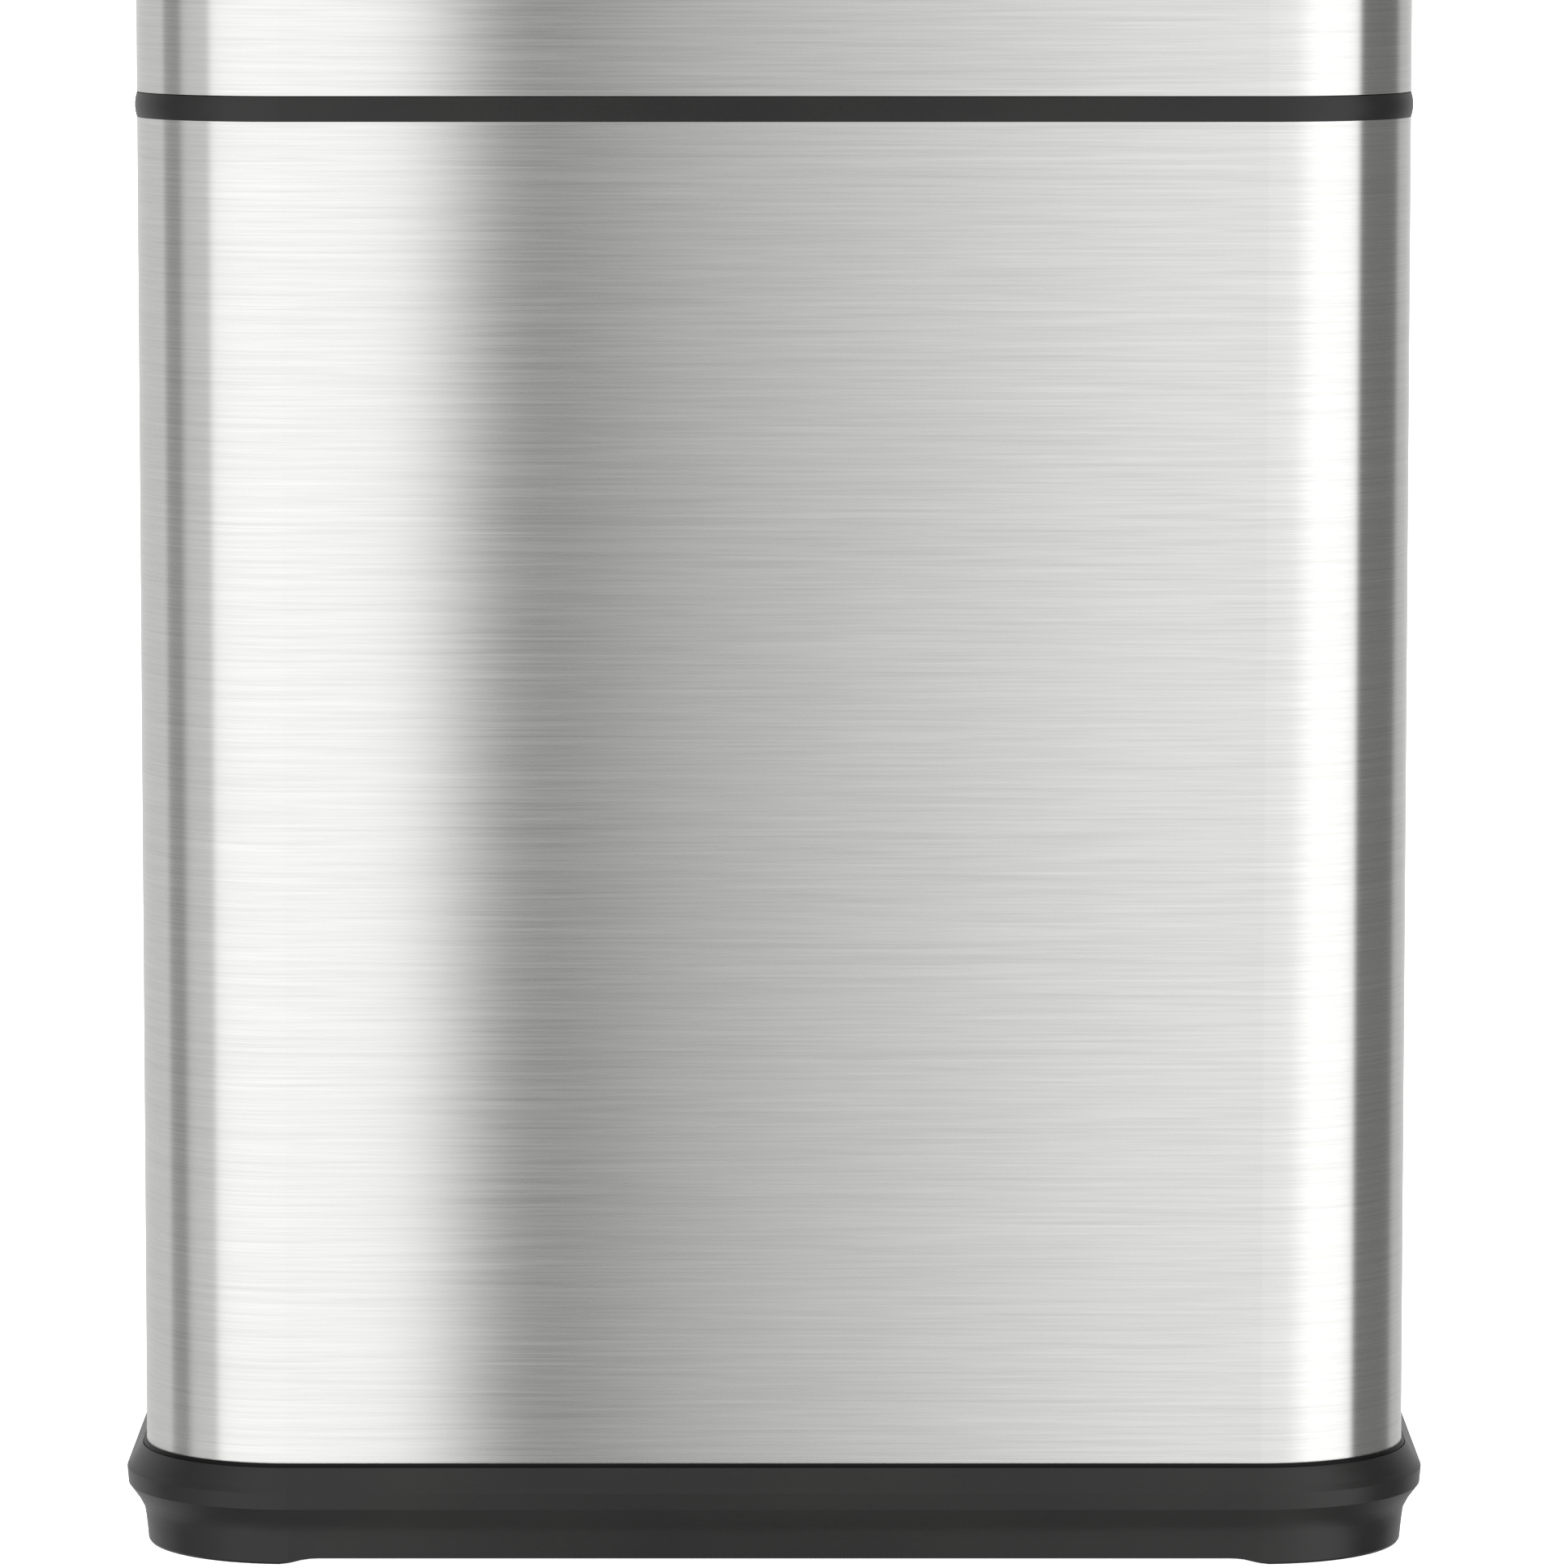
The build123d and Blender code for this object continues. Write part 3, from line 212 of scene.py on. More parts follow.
def cover_strip(name, foot, top, body):
    """An upright strip on the back face, with rounded long edges."""
    outline = [(-strip_half, 0.0), (-strip_half, strip_rise - strip_roll)]
    for step in range(1, roll_steps + 1):
        angle = math.radians(90 * step / roll_steps)
        across = -strip_half + strip_roll * (1 - math.cos(angle))
        outline.append((across, strip_rise - strip_roll * (1 - math.sin(angle))))
    outline += [(-x, y) for x, y in reversed(outline)]
    shape = bmesh.new()
    rows = [[shape.verts.new((x, back_face + y, z)) for x, y in outline] for z in (foot, top)]
    count = len(outline)
    for i in range(count):
        shape.faces.new((rows[0][i], rows[0][(i + 1) % count], rows[1][(i + 1) % count], rows[1][i]))
    shape.faces.new(rows[0])
    shape.faces.new(rows[1])
    bmesh.ops.recalc_face_normals(shape, faces=shape.faces)
    mesh = bpy.data.meshes.new(name)
    shape.to_mesh(mesh)
    shape.free()
    return piece_from(name, mesh, brushed_steel, body)


cover_strip("shell_joint_strip", shell_foot, shell_top - strip_gap, "shell")


def rule_tree(name, sizes):
    """A Geometry Nodes tree with named sizes in and one mesh out, and the sockets that give the sizes."""
    tree = bpy.data.node_groups.new(name, "GeometryNodeTree")
    for label, kind in sizes.items():
        tree.interface.new_socket(label, in_out="INPUT", socket_type="NodeSocket" + kind)
    tree.interface.new_socket("Geometry", in_out="OUTPUT", socket_type="NodeSocketGeometry")
    return tree, add(tree, "NodeGroupInput").outputs


def end_tree(tree, shape, material):
    """Ends a tree. What it made becomes one real mesh, shaded smooth, with its finish."""
    real = add(tree, "GeometryNodeRealizeInstances", {0: shape})
    smooth = add(tree, "GeometryNodeSetShadeSmooth", {0: real.outputs[0]})
    finished = add(tree, "GeometryNodeSetMaterial", {"Geometry": smooth.outputs[0], "Material": material})
    add(tree, "NodeGroupOutput", {0: finished.outputs[0]})


def by_rule(name, tree, sizes, body):
    """Runs a tree once with its sizes, and keeps what it makes as a plain mesh."""
    seed = bpy.data.objects.new(name + "_rule", bpy.data.meshes.new(name + "_rule"))
    bpy.context.scene.collection.objects.link(seed)
    rule = seed.modifiers.new("rule", "NODES")
    rule.node_group = tree
    for item in tree.interface.items_tree:
        if item.in_out == "INPUT" and item.name in sizes:
            rule[item.identifier] = sizes[item.name]
    mesh = bpy.data.meshes.new_from_object(seed.evaluated_get(bpy.context.evaluated_depsgraph_get()))
    seed.modifiers.remove(rule)
    bpy.data.objects.remove(seed)
    mesh.name = name
    return piece_from(name, mesh, None, body)


def dome_rule(name, material, segments=20, rings=10):
    """Domes in a straight row, each sunk to its middle in the face that it stands on."""
    tree, given = rule_tree(name, {"Count": "Int", "Start": "Vector", "Step": "Vector", "Dome": "Vector"})
    row = add(
        tree, "GeometryNodeMeshLine",
        {"Count": given[0], "Start Location": given[1], "Offset": given[2]}, mode="OFFSET",
    )
    ball = add(tree, "GeometryNodeMeshUVSphere", {"Segments": segments, "Rings": rings, "Radius": 1.0})
    placed = add(
        tree, "GeometryNodeInstanceOnPoints",
        {"Points": row.outputs[0], "Instance": ball.outputs[0], "Scale": given[3]},
    )
    end_tree(tree, placed.outputs[0], material)
    return tree


# Spot-welded steel: each weld is a flat button with the blue-brown stain of its heat, dulled by cleaning.
weld_stain = brushed("spot_welded_steel", "#A59E93", 0.42, 0.0, 0.0004, 0.16)
weld_row = dome_rule("spot_weld_row", weld_stain, 16, 6)
weld_button = (0.0024, 0.0003, 0.0024)
weld_pitch = 0.0385
shell_welds = 12
by_rule(
    "shell_joint_welds", weld_row,
    {"Count": shell_welds, "Start": (0.0, back_face + strip_rise, shell_foot + weld_pitch / 2),
     "Step": (0.0, 0.0, weld_pitch), "Dome": weld_button},
    "shell",
)

# ==== Dark bead round the foot of the shell ====
# A thin black bead fills the groove between the steel and the base tray's lip. It is painted shade and a
# painted
# reflection: it stands in for the shadow in the groove and the black lip's reflection low on the steel, and
# shows as a dark line under the steel.
bead_wide = 0.0011
bead_gap = 0.00005  # clear of the steel and the lip
bead_foot = 0.0335
bead_top = 0.0367
body_half = (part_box("outer_shell")[1].x, back_face)
body_corner = 0.053
sharp_edge = math.radians(30)
corner_steps = 24


def body_plan(offset):
    """Points round the body's plan, moved outward by offset."""
    points = []
    for quarter, (sx, sy) in enumerate(((1, 1), (-1, 1), (-1, -1), (1, -1))):
        cx, cy = sx * (body_half[0] - body_corner), sy * (body_half[1] - body_corner)
        for step in range(corner_steps + 1):
            angle = math.radians(90 * quarter + 90 * step / corner_steps)
            reach = body_corner + offset
            points.append((cx + reach * math.cos(angle), cy + reach * math.sin(angle)))
    return points


def swept_round(name, section, material, body):
    """A closed section of (offset, height) points, swept round the body's plan."""
    shape = bmesh.new()
    rings = [[shape.verts.new((x, y, z)) for x, y in body_plan(offset)] for offset, z in section]
    for i, ring in enumerate(rings):
        above = rings[(i + 1) % len(rings)]
        for j in range(len(ring)):
            k = (j + 1) % len(ring)
            shape.faces.new((ring[j], ring[k], above[k], above[j])).smooth = True
    bmesh.ops.recalc_face_normals(shape, faces=shape.faces)
    mesh = bpy.data.meshes.new(name)
    shape.to_mesh(mesh)
    shape.free()
    mesh.set_sharp_from_angle(angle=sharp_edge)
    return piece_from(name, mesh, material, body)


bead_section = [(bead_gap, bead_foot), (bead_wide - bead_gap, bead_foot)]
bead_section += [(bead_wide - bead_gap, bead_top - 0.0010), (bead_wide * 0.8, bead_top - 0.0004)]
bead_section += [(bead_wide * 0.45, bead_top), (bead_gap, bead_top)]
# Painted shade under the steel: the bead is deep black, with a soft sheen.
painted_shade_black = moulded(
    "painted_shade_bead_black", "#070707", "#0B0B0B", 0.35, 0.0012, 0.00003, specular=0.12, ior=1.41
)
# The black bead is painted shade, a dark strip put where the groove's shadow and the lip's reflection fall.
swept_round("painted_shade_foot_bead", bead_section, painted_shade_black, "shell")
# The tray's lip ends in a rolled edge beside the bead, which fades into the lip's slope. Each point is an
# offset from the steel and a height.
lip_edge = (
    (0.00112, 0.03300), (0.00112, 0.03500), (0.00122, 0.03530), (0.00142, 0.03540), (0.00170, 0.03535),
    (0.00210, 0.03485), (0.00660, 0.02745), (0.00160, 0.03350),
)
swept_round("lip_edge", lip_edge, satin_black, "shell")

# ==== Self-tapping screws ====
# Small steel screws hold the shell, the keeper, the lid's panel, the mast and the platen.
# Zinc plate, blue passivated: bright, with a slight blue cast and a fine mottle.
zinc = brushed("zinc_plated_steel_blue_passivated", "#C3C7CC", 0.3, 0.0, 0.0009, 0.12)
finish_node(zinc, "shell_screws", "keeper_screws", "lid_screws", "mast_screws", "platen_bolts")

# ==== Trim band ====
# The black line round the bin: a moulding pushed into the top of the shell, with its edge standing a little
# proud of the steel. The same polypropylene as the base tray.
finish_node(satin_black, "trim_band")

# ==== Lock catches, keeper and levers ====
# Small parts blanked and bent from steel sheet: hooks in the band and levers in the head for the turn locks,
# and the strip that the lid's bolt bears on. The hinge's pins are drawn from the same steel.
# Cold-rolled steel: mid grey, half dull, with a faint drawn grain.
rolled_steel = brushed("cold_rolled_steel_sheet", "#9C9C9B", 0.36, 0.4, 0.0008, 0.12)
finish_node(rolled_steel, "lock_catches", "lock_keeper", "hinge_pins")
finish_node(rolled_steel, "lock_lever_left", "lock_lever_right")

# ==== Bucket and bag ring ====
# The lift-out bucket is a grey polypropylene moulding with a hand hole at each end. A folded steel ring drops
# on its rim and holds the bag.
# Moulded polypropylene, grey: a waxy mid grey, with a coarser sparked skin than the black parts.
bucket_grey = moulded(
    "injection_moulded_polypropylene_grey", "#6F7072", "#75767A", 0.5, 0.0008, 0.00006, specular=0.45
)
finish_node(bucket_grey, "inner_bucket")
finish_node(rolled_steel, "bag_ring")

# ==== Head skirt ====
# The head's steel wall, from the same brushed sheet as the shell. Its joint at the back has the same strip
# and welds. Four blind rivets at the back hold it to the head frame, and four more hold the shell to its
# band.
finish_node(brushed_steel, "head_skirt")
skirt_low, skirt_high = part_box("head_skirt")
cover_strip("skirt_joint_strip", skirt_low.z + strip_gap, skirt_high.z - strip_gap, "head")
skirt_welds = 3
skirt_pitch = (skirt_high.z - skirt_low.z) / skirt_welds
by_rule(
    "skirt_joint_welds", weld_row,
    {"Count": skirt_welds, "Start": (0.0, back_face + strip_rise, skirt_low.z + skirt_pitch / 2),
     "Step": (0.0, 0.0, skirt_pitch), "Dome": weld_button},
    "head",
)
# Drawn aluminium rivet heads: pale, smooth and slightly dull.
rivet_metal = brushed("drawn_aluminium_rivets", "#BFC0C1", 0.34, 0.0, 0.0006, 0.08)
rivet_row = dome_rule("blind_rivet_row", rivet_metal)
rivet_head = (0.0032, 0.0009, 0.0032)
rivets = 4
rivet_pitch = 0.098
rivet_start = -rivet_pitch * (rivets - 1) / 2
rivet_drop = 0.0075
for name, height, body in (
    ("skirt_rivets", skirt_high.z - rivet_drop, "head"), ("shell_rivets", shell_top - rivet_drop, "shell")
):
    by_rule(
        name, rivet_row,
        {"Count": rivets, "Start": (rivet_start, back_face, height), "Step": (rivet_pitch, 0.0, 0.0),
         "Dome": rivet_head},
        body,
    )

# ==== Head frame and foot ring ====
# The deck, the throat and the hinge cover are one black moulding, and a second ring stiffens the foot of the
# skirt. ABS takes a finer, slightly glossier skin than the base's polypropylene.
# Injection-moulded ABS: black and half matt, a little lighter than the base.
satin_abs = moulded("injection_moulded_abs_black", "#131313", "#1B1B1A", 0.36, 0.0005, 0.00003, specular=0.4)
finish_node(satin_abs, "head_frame", "head_foot_ring")

# The hinge cover's two ends are closed with domed caps, pressed in.
cover_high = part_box("head_frame")[1]
hinge_axis_y = cover_high.y - 0.014
hinge_axis_z = cover_high.z - 0.0105
cap_reach = 0.150
cap_size = (0.0022, 0.0098, 0.0098)
cap_row = dome_rule("hinge_cap_row", satin_abs, 32, 16)
by_rule(
    "hinge_cover_caps", cap_row,
    {"Count": 2, "Start": (-cap_reach, hinge_axis_y, hinge_axis_z), "Step": (2 * cap_reach, 0.0, 0.0),
     "Dome": cap_size},
    "head",
)

# ==== Lid, inner panel and seal ====
# The lid's top is a black moulding with a round well for the crank, and a flat panel closes it from below. A
# soft seal on the panel bears on the deck.
# Grain-moulded ABS: a coarser, leather-like skin, more matt than the other ABS, that hides fingermarks.
grained_abs = moulded("grain_moulded_abs_black", "#141414", "#1D1D1C", 0.44, 0.0011, 0.00016, specular=0.4)
finish_node(grained_abs, "lid_top")
finish_node(satin_abs, "lid_panel")
finish_node(rubber, "lid_seal")

# Three arrows moulded in the well's floor show which way to turn the crank.
well_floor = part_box("crank_bush")[1].z - 0.001
press_y = 0.008
arrow_tree, arrow_sizes = rule_tree(
    "turning_arrows", dict.fromkeys(("Radius", "Sweep", "Width", "Rise", "Head"), "Float")
)
arc = add(
    arrow_tree, "GeometryNodeCurveArc",
    {"Resolution": 40, "Radius": arrow_sizes[0], "Start Angle": 0.0, "Sweep Angle": arrow_sizes[1]},
)
bar = add(
    arrow_tree, "GeometryNodeCurvePrimitiveQuadrilateral", {"Width": arrow_sizes[3], "Height": arrow_sizes[2]}
)
arc_bar = add(
    arrow_tree, "GeometryNodeCurveToMesh",
    {"Curve": arc.outputs[0], "Profile Curve": bar.outputs[0], "Fill Caps": True},
)
barb = add(
    arrow_tree, "GeometryNodeMeshCylinder", {"Vertices": 3, "Radius": arrow_sizes[4], "Depth": arrow_sizes[3]}
)
place_barb = add(arrow_tree, "ShaderNodeCombineXYZ", {"X": arrow_sizes[0]})
turned_barb = add(
    arrow_tree, "GeometryNodeTransform",
    {"Geometry": barb.outputs[0], "Translation": place_barb.outputs[0], "Rotation": (0.0, 0.0, math.pi)},
)
joined = add(arrow_tree, "GeometryNodeJoinGeometry")
arrow_tree.links.new(arc_bar.outputs[0], joined.inputs[0])
arrow_tree.links.new(turned_barb.outputs[0], joined.inputs[0])
all_arrows = add(arrow_tree, "GeometryNodeJoinGeometry")
arrows = 3
for turn in range(arrows):
    spun = add(
        arrow_tree, "GeometryNodeTransform",
        {"Geometry": joined.outputs[0], "Translation": (0.0, press_y, well_floor),
         "Rotation": (0.0, 0.0, 2 * math.pi * turn / arrows)},
    )
    arrow_tree.links.new(spun.outputs[0], all_arrows.inputs[0])
# Hot-foiled plastic: the raised arrows are tipped with pale grey foil, which is a little worn.
foil = moulded("hot_foiled_abs_pale_grey", "#8F9091", "#A9AAAB", 0.34, 0.0008, 0.00003, specular=0.5)
end_tree(arrow_tree, all_arrows.outputs[0], foil)
by_rule(
    "turning_arrows", arrow_tree,
    {"Radius": 0.058, "Sweep": math.radians(78), "Width": 0.0026, "Rise": 0.0011, "Head": 0.0055},
    "lid",
)

# ==== Odour filter ====
# A pad of charcoal foam sits in a shallow frame under the lid, behind a slotted cover that clips on. The
# frame and cover are the same ABS as the head.
finish_node(satin_abs, "filter_frame", "filter_cover")
# Charcoal-loaded foam: nearly black, open and matt, with pores about 1 mm across.
charcoal = moulded("charcoal_loaded_foam", "#0B0B0B", "#2A2A29", 0.95, 0.0012, 0.0005, specular=0.1)
finish_node(charcoal, "filter_pad")

# ==== Telescopic mast ====
# Three square tubes of welded stainless steel slide in one another. Nylon rings in their mouths keep them
# from rubbing.
# Mill-drawn stainless tube: bright grey, with a grain that runs upright, as it was drawn.
mill_tube = brushed("mill_drawn_stainless_tube", "#B4B4B2", 0.3, 0.6, 0.0008, 0.10, "UPRIGHT")
finish_node(mill_tube, "mast_outer", "mast_middle", "mast_inner")
# Moulded nylon, undyed: a warm off-white, faintly waxy.
nylon = moulded(
    "injection_moulded_nylon_natural", "#D2CDBD", "#DEDACB", 0.4, 0.0007, 0.00003, specular=0.5, ior=1.53
)
finish_node(nylon, "outer_glide", "middle_glides", "inner_glide")

# ==== Press screws and nuts ====
# The two screws are turned from steel bar and run in bronze nuts. A bronze washer takes the thrust, and a
# bronze bush carries the screw in the lid.
# Turned steel bar: bright grey, with fine level tool marks round it.
turned_steel = brushed("turned_steel_bar", "#A6A6A5", 0.28, 0.5, 0.0006, 0.10)
finish_node(turned_steel, "drive_screw", "hollow_screw", "crank_pin")
# Sintered bronze: brown-gold, fine-grained and slightly oily.
bronze = brushed("sintered_bronze", "#A98452", 0.4, 0.0, 0.0007, 0.14)
finish_node(bronze, "thrust_washer", "crank_bush", "middle_nut", "inner_nut")

# ==== Crank ====
# The arm is cast aluminium, linished and anodised. A black cap covers the end of the drive screw.
# Linished, anodised aluminium: satin silver, with fine streaks along the arm.
anodised = brushed("linished_anodised_aluminium", "#C2C3C5", 0.32, 0.7, 0.0006, 0.08)
finish_node(anodised, "crank_arm")
finish_node(satin_abs, "hub_cap")

# ==== Crank knob ====
# A phenolic knob spins on its pin. Sixteen shallow flutes round it give the fingers a hold, and the pin's
# head lies in the hollow at the top.
knob_low, knob_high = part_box("crank_knob")
knob_x, knob_y = (knob_low.x + knob_high.x) / 2, (knob_low.y + knob_high.y) / 2
knob_tall = knob_high.z - knob_low.z
knob_flutes = 16
flute_depth = 0.00055
knob_bore = 0.00305
knob_hollow = 0.0054
hollow_deep = 0.0035
knob_sides = knob_flutes * 8
# Radius and height, from the foot up
knob_outside = (
    (0.0078, 0.0), (0.0085, 0.0006), (0.0083, 0.0025), (0.0079, 0.0055), (0.0080, 0.0078),
    (0.0086, 0.0105), (0.0096, 0.0135), (0.0106, 0.0160), (0.0111, 0.0182), (0.0112, 0.0204),
    (0.0109, 0.0226), (0.0101, 0.0246), (0.0090, 0.0260), (0.0078, knob_tall),
)
# Each ring has a radius, a height and how deep its flutes are
knob_rings = [(knob_bore, 0.0, 0.0)]
for radius, height in knob_outside:
    knob_rings.append((radius, height, math.sin(math.pi * height / knob_tall) ** 0.7))
knob_rings += [(knob_hollow + 0.0006, knob_tall, 0.0), (knob_hollow, knob_tall - 0.0005, 0.0)]
knob_rings += [(knob_hollow, knob_tall - hollow_deep, 0.0), (knob_bore, knob_tall - hollow_deep, 0.0)]
knob_shape = bmesh.new()
knob_loops = []
for radius, height, fluting in knob_rings:
    loop = []
    for side in range(knob_sides):
        angle = 2 * math.pi * side / knob_sides
        cut = flute_depth * fluting * (0.5 + 0.5 * math.cos(knob_flutes * angle)) ** 2
        reach = radius - cut
        loop.append(
            knob_shape.verts.new(
                (knob_x + reach * math.cos(angle), knob_y + reach * math.sin(angle), knob_low.z + height)
            )
        )
    knob_loops.append(loop)
for i, loop in enumerate(knob_loops):
    above = knob_loops[(i + 1) % len(knob_loops)]
    for side in range(knob_sides):
        beside = (side + 1) % knob_sides
        knob_shape.faces.new((loop[side], loop[beside], above[beside], above[side])).smooth = True
bmesh.ops.recalc_face_normals(knob_shape, faces=knob_shape.faces)
knob_mesh = bpy.data.meshes.new("fluted_knob")
knob_shape.to_mesh(knob_mesh)
knob_shape.free()
# Compression-moulded phenolic: hard, deep black and glossier than the other mouldings, rubbed by hands.
phenolic = moulded(
    "compression_moulded_phenolic_black", "#0E0E0E", "#191817", 0.24, 0.0009, 0.00002, specular=0.5
)
fluted_knob = piece_from("fluted_knob", knob_mesh, phenolic, "knob")
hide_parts("crank_knob")

# ==== Platen ====
# The plate that presses the rubbish: ribbed steel, powder coated grey. Rows of pressed studs on its
# underside bite into the rubbish, and a rubber wiper round its edge keeps the throat clean.
# Powder coat: a mid-dark grey with an orange-peel skin about 1 mm across.
powder = moulded(
    "powder_coated_steel_grey", "#3E4042", "#4A4C4E", 0.42, 0.0012, 0.00010, specular=0.5, ior=1.5
)
finish_node(powder, "platen")
finish_node(rubber, "platen_wiper")
stud_tree, stud_sizes = rule_tree(
    "pressed_studs",
    {"Wide": "Float", "Deep": "Float", "Columns": "Int", "Rows": "Int", "Stud": "Vector", "Middle": "Vector"},
)
field = add(
    stud_tree, "GeometryNodeMeshGrid",
    {"Size X": stud_sizes[0], "Size Y": stud_sizes[1],
     "Vertices X": stud_sizes[2], "Vertices Y": stud_sizes[3]},
)
stud = add(stud_tree, "GeometryNodeMeshUVSphere", {"Segments": 12, "Rings": 6, "Radius": 1.0})
studs = add(
    stud_tree, "GeometryNodeInstanceOnPoints",
    {"Points": field.outputs[0], "Instance": stud.outputs[0], "Scale": stud_sizes[4]},
)
placed_studs = add(
    stud_tree, "GeometryNodeTransform", {"Geometry": studs.outputs[0], "Translation": stud_sizes[5]}
)
end_tree(stud_tree, placed_studs.outputs[0], powder)
platen_low, platen_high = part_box("platen")
stud_pitch = 0.025
stud_columns, stud_rows = 14, 8
stud_size = (0.0050, 0.0050, 0.0014)
by_rule(
    "platen_studs", stud_tree,
    {"Wide": stud_pitch * (stud_columns - 1), "Deep": stud_pitch * (stud_rows - 1), "Columns": stud_columns,
     "Rows": stud_rows, "Stud": stud_size,
     "Middle": (0.0, (platen_low.y + platen_high.y) / 2, platen_low.z)},
    "ram",
)

# ==== Turn locks' grips ====
# A round ABS grip on each side of the head turns the lever inside. Fine ribs are moulded round its rim, so
# that wet fingers can turn it.
grip_ribs = 44
grip_rib = (0.0005, 0.0005, 0.0021)
finish_node(satin_abs, "lock_grip_left", "lock_grip_right")
rib_tree, rib_sizes = rule_tree(
    "rim_ribs", {"Count": "Int", "Radius": "Float", "Rib": "Vector", "Middle": "Vector"}
)
rim = add(rib_tree, "GeometryNodeMeshCircle", {"Vertices": rib_sizes[0], "Radius": rib_sizes[1]})
rib = add(rib_tree, "GeometryNodeMeshUVSphere", {"Segments": 8, "Rings": 6, "Radius": 1.0})
ribs = add(
    rib_tree, "GeometryNodeInstanceOnPoints",
    {"Points": rim.outputs[0], "Instance": rib.outputs[0], "Scale": rib_sizes[2]},
)
stood = add(
    rib_tree, "GeometryNodeTransform",
    {"Geometry": ribs.outputs[0], "Rotation": (0.0, math.pi / 2, 0.0), "Translation": rib_sizes[3]},
)
end_tree(rib_tree, stood.outputs[0], satin_abs)
for side in ("left", "right"):
    grip_low, grip_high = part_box("lock_grip_" + side)
    middle = (grip_low + grip_high) / 2
    by_rule(
        "grip_ribs_" + side, rib_tree,
        {"Count": grip_ribs, "Radius": (grip_high.z - grip_low.z) / 2, "Rib": grip_rib,
         "Middle": tuple(middle)},
        "turn_lock_" + side,
    )

# ==== Lid's lock slider ====
# A thumb slider on the lid, in the same black ABS, with three grooves across its tab. Its bolt goes under
# the steel keeper on the deck.
finish_node(satin_abs, "lock_slider")

# ==== Floor, light and camera ====
# The bin stands on a wide sheet of white card, lit from below as well as above, so it takes no shadow. The
# steel shows what is round it, so a ring of upright panels, white, grey and dark, stands close round the bin.
floor_half = 90.0
floor_mesh = bpy.data.meshes.new("floor_card")
floor_corners = [(x * floor_half, y * floor_half, 0.0) for x, y in ((-1, -1), (1, -1), (1, 1), (-1, 1))]
floor_mesh.from_pydata(floor_corners, [], [(0, 1, 2, 3)])
floor = bpy.data.objects.new("floor_card", floor_mesh)
bpy.context.scene.collection.objects.link(floor)
card, card_tree = blank_finish("matt_white_card")
fibre = add(card_tree, "ShaderNodeTexNoise", {"Scale": 900.0, "Detail": 2.0})
card_white = add(
    card_tree, "ShaderNodeMix",
    {0: fibre.outputs["Fac"], 6: linear("#F4F4F3"), 7: linear("#FAFAFA")}, data_type="RGBA",
)
card_shader = add(
    card_tree, "ShaderNodeBsdfPrincipled",
    {"Base Color": card_white.outputs[2], "Roughness": 0.9, "Specular IOR Level": 0.0,
     "Emission Color": linear("#FFFFFF"), "Emission Strength": 1.0},
)
add(card_tree, "ShaderNodeOutputMaterial", {"Surface": card_shader.outputs[0]})
floor_mesh.materials.append(card)
floor.visible_glossy = False

tent_radius = 0.6
tent_low = -1.5
tent_high = 2.0
tent_sides = 180
tent_mesh = bpy.data.meshes.new("reflector_panels")
tent_shape = bmesh.new()
bmesh.ops.create_cone(
    tent_shape, cap_ends=True, segments=tent_sides, radius1=tent_radius, radius2=tent_radius,
    depth=tent_high - tent_low,
)
bmesh.ops.translate(tent_shape, verts=tent_shape.verts, vec=(0, 0, (tent_high + tent_low) / 2))
bmesh.ops.reverse_faces(tent_shape, faces=tent_shape.faces)
tent_shape.to_mesh(tent_mesh)
tent_shape.free()
tent = bpy.data.objects.new("reflector_panels", tent_mesh)
bpy.context.scene.collection.objects.link(tent)
for way in ("camera", "diffuse", "transmission", "volume_scatter", "shadow"):
    setattr(tent, "visible_" + way, False)

# Where each panel starts and ends, in degrees round from the front, and how light the steel looks there
panels = (
    (-180, "#DCDCDC"), (-166, "#C8C8C8"), (-140, "#AEAEAE"), (-89, "#B8B8B8"), (-87, "#848484"),
    (-76, "#868686"), (-72, "#BABABA"), (-57.5, "#BCBCBC"), (-55.5, "#F0F0F0"), (-14.0, "#F2F2F2"),
    (-10.2, "#6A6A6A"), (-8.0, "#888888"), (-4.5, "#A2A2A2"), (0, "#B2B2B2"), (8, "#C8C8C8"), (14, "#D6D6D6"),
    (20, "#DCDCDC"), (34, "#E2E2E2"), (46, "#FFFFFF"), (68.0, "#FFFFFF"), (70.6, "#6E6E6E"), (101, "#646464"),
    (109, "#A2A2A2"), (140, "#AEAEAE"), (166, "#C8C8C8"), (180, "#DCDCDC"),
)
glow, glow_tree = blank_finish("reflector_glow")
spot = add(glow_tree, "ShaderNodeSeparateXYZ", {0: add(glow_tree, "ShaderNodeTexCoord").outputs["Object"]})
front = add(glow_tree, "ShaderNodeMath", {0: spot.outputs["Y"], 1: -1.0}, operation="MULTIPLY")
round_from_front = add(
    glow_tree, "ShaderNodeMath", {0: spot.outputs["X"], 1: front.outputs[0]}, operation="ARCTAN2"
)
share = add(
    glow_tree, "ShaderNodeMapRange",
    {"Value": round_from_front.outputs[0], "From Min": -math.pi, "From Max": math.pi},
)
ramp = add(glow_tree, "ShaderNodeValToRGB", {0: share.outputs[0]})
stops = ramp.color_ramp.elements
stops.remove(stops[1])
stops[0].position, stops[0].color = 0.0, linear(panels[0][1])
for angle, level in panels[1:]:
    stop = stops.new((angle + 180) / 360)
    stop.color = linear(level)
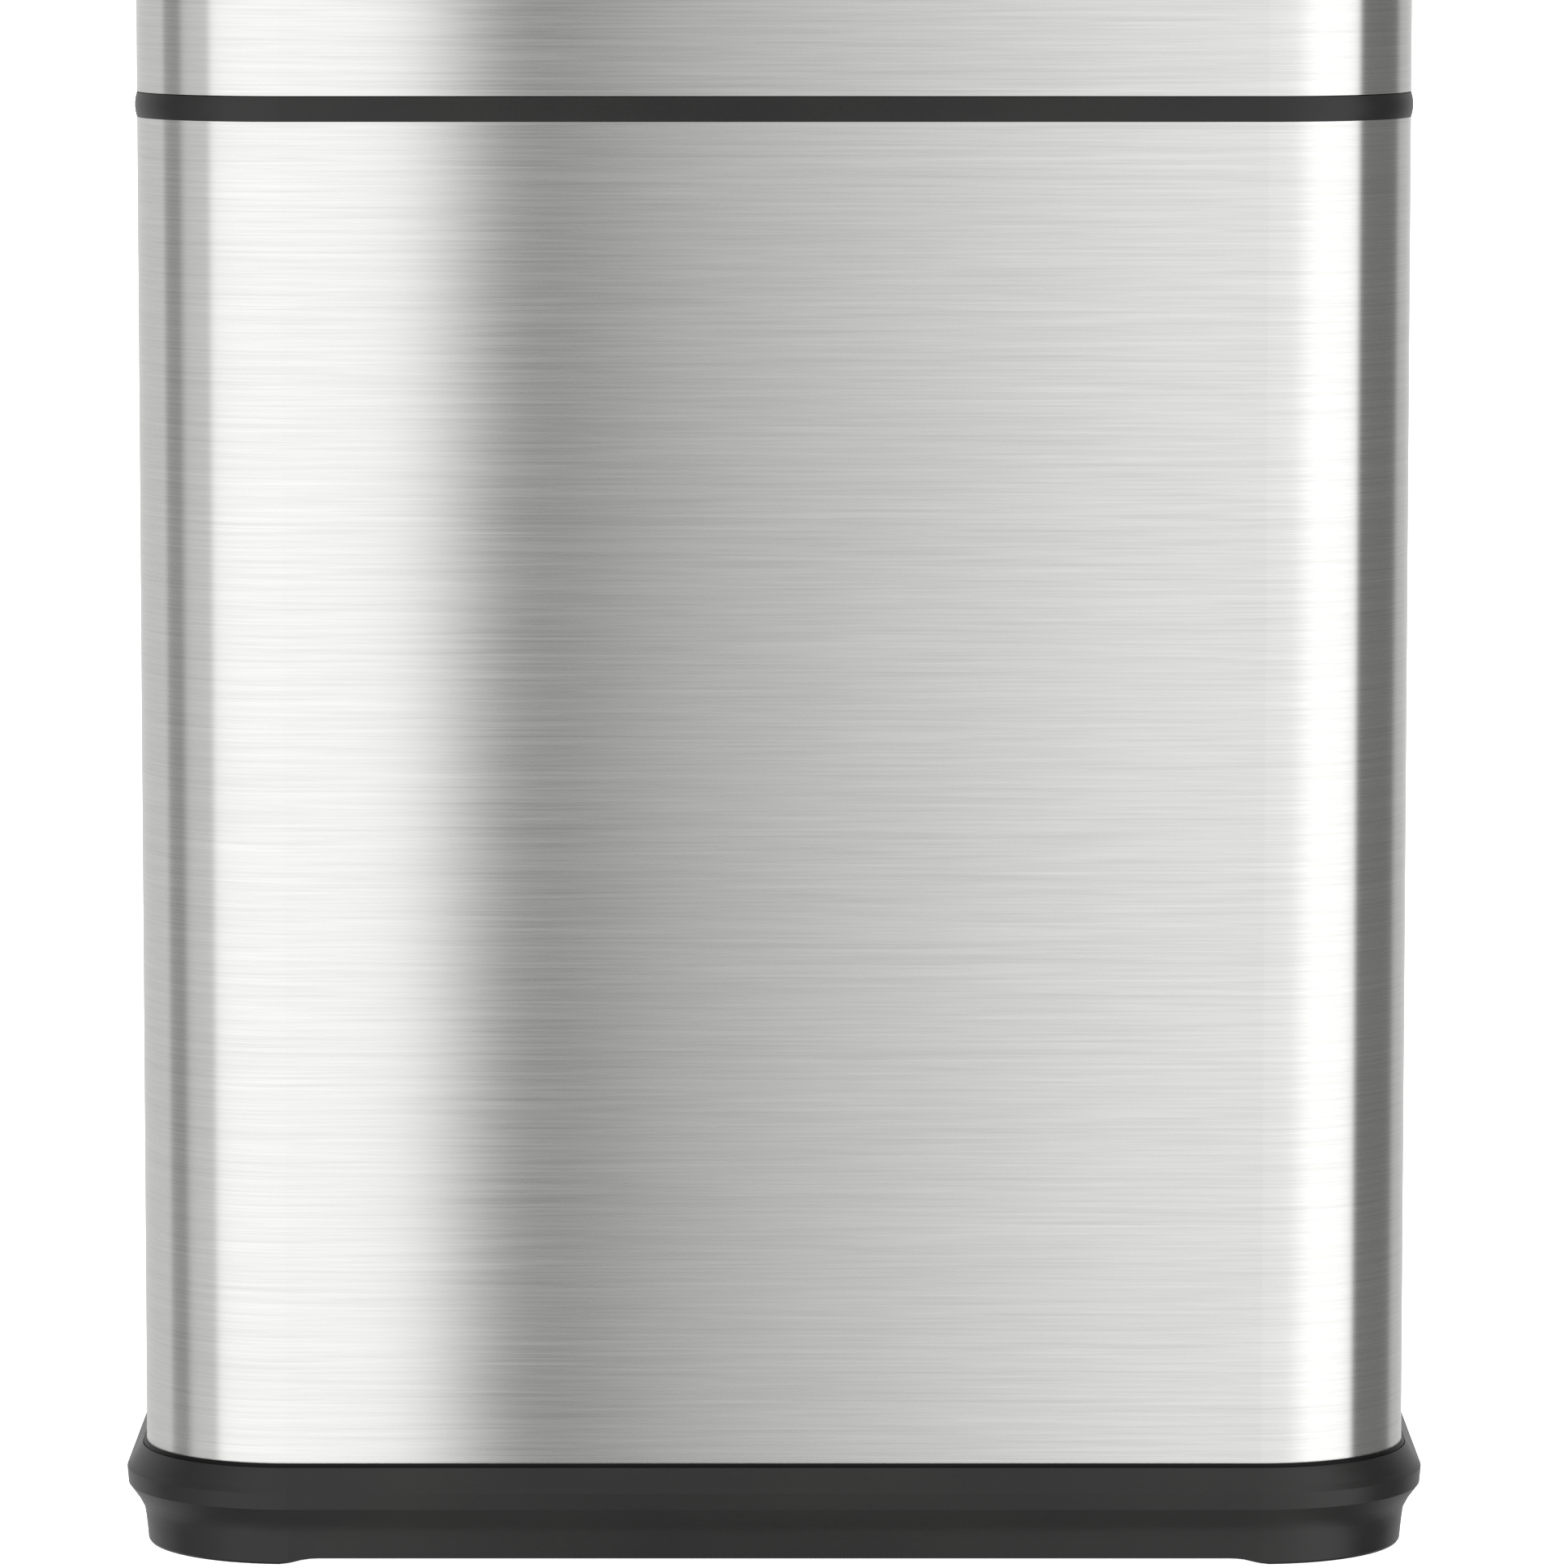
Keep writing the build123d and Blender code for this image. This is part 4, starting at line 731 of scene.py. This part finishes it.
# The roof panel is even, and the walls are darker below the floor
roof = add(
    glow_tree, "ShaderNodeMapRange", {"Value": spot.outputs["Z"], "From Min": 1.9, "From Max": 1.99}
)
lit = add(
    glow_tree, "ShaderNodeMix",
    {0: roof.outputs[0], 6: ramp.outputs[0], 7: linear("#E6E6E6")}, data_type="RGBA",
)
low_down = add(
    glow_tree, "ShaderNodeMapRange",
    {"Value": spot.outputs["Z"], "From Min": -0.75, "From Max": -0.3, "To Min": 0.45, "To Max": 1.0},
)
steel_shine = linear("#CCCCCC")[0] / 1.09  # how much of a panel's light the steel gives back
power = add(glow_tree, "ShaderNodeMath", {0: low_down.outputs[0], 1: 1.0 / steel_shine}, operation="MULTIPLY")
glow_shader = add(glow_tree, "ShaderNodeEmission", {"Color": lit.outputs[2], "Strength": power.outputs[0]})
add(glow_tree, "ShaderNodeOutputMaterial", {"Surface": glow_shader.outputs[0]})
tent_mesh.materials.append(glow)
glow.cycles.emission_sampling = "NONE"

key = bpy.data.lights.new("soft_key", "SUN")
key.energy = 2.4
key.angle = math.radians(50)
key_object = bpy.data.objects.new("soft_key", key)
key_object.rotation_euler = (math.radians(38), math.radians(14), 0)
key_object.visible_glossy = False
bpy.context.scene.collection.objects.link(key_object)

world = bpy.data.worlds.new("white_studio")
bpy.context.scene.world = world
world.use_nodes = True
world.node_tree.nodes["Background"].inputs["Color"].default_value = linear("#FFFFFF")
world.node_tree.nodes["Background"].inputs["Strength"].default_value = 1.0
world.cycles_visibility.glossy = False

camera = bpy.data.cameras.new("camera")
camera.lens = 212.35
camera.sensor_width = 36.0
camera.shift_x = 0.0063
camera.shift_y = 0.0003
camera.clip_start = 0.1
camera.clip_end = 200.0
camera_object = bpy.data.objects.new("camera", camera)
camera_object.location = (0.0, -3.380, 0.6392)
camera_drop = math.radians(6.4)  # the camera looks down by this much
camera_object.rotation_euler = (math.pi / 2 - camera_drop, 0.0, 0.0)
bpy.context.scene.collection.objects.link(camera_object)
bpy.context.scene.camera = camera_object
bpy.context.scene.view_settings.view_transform = "Standard"
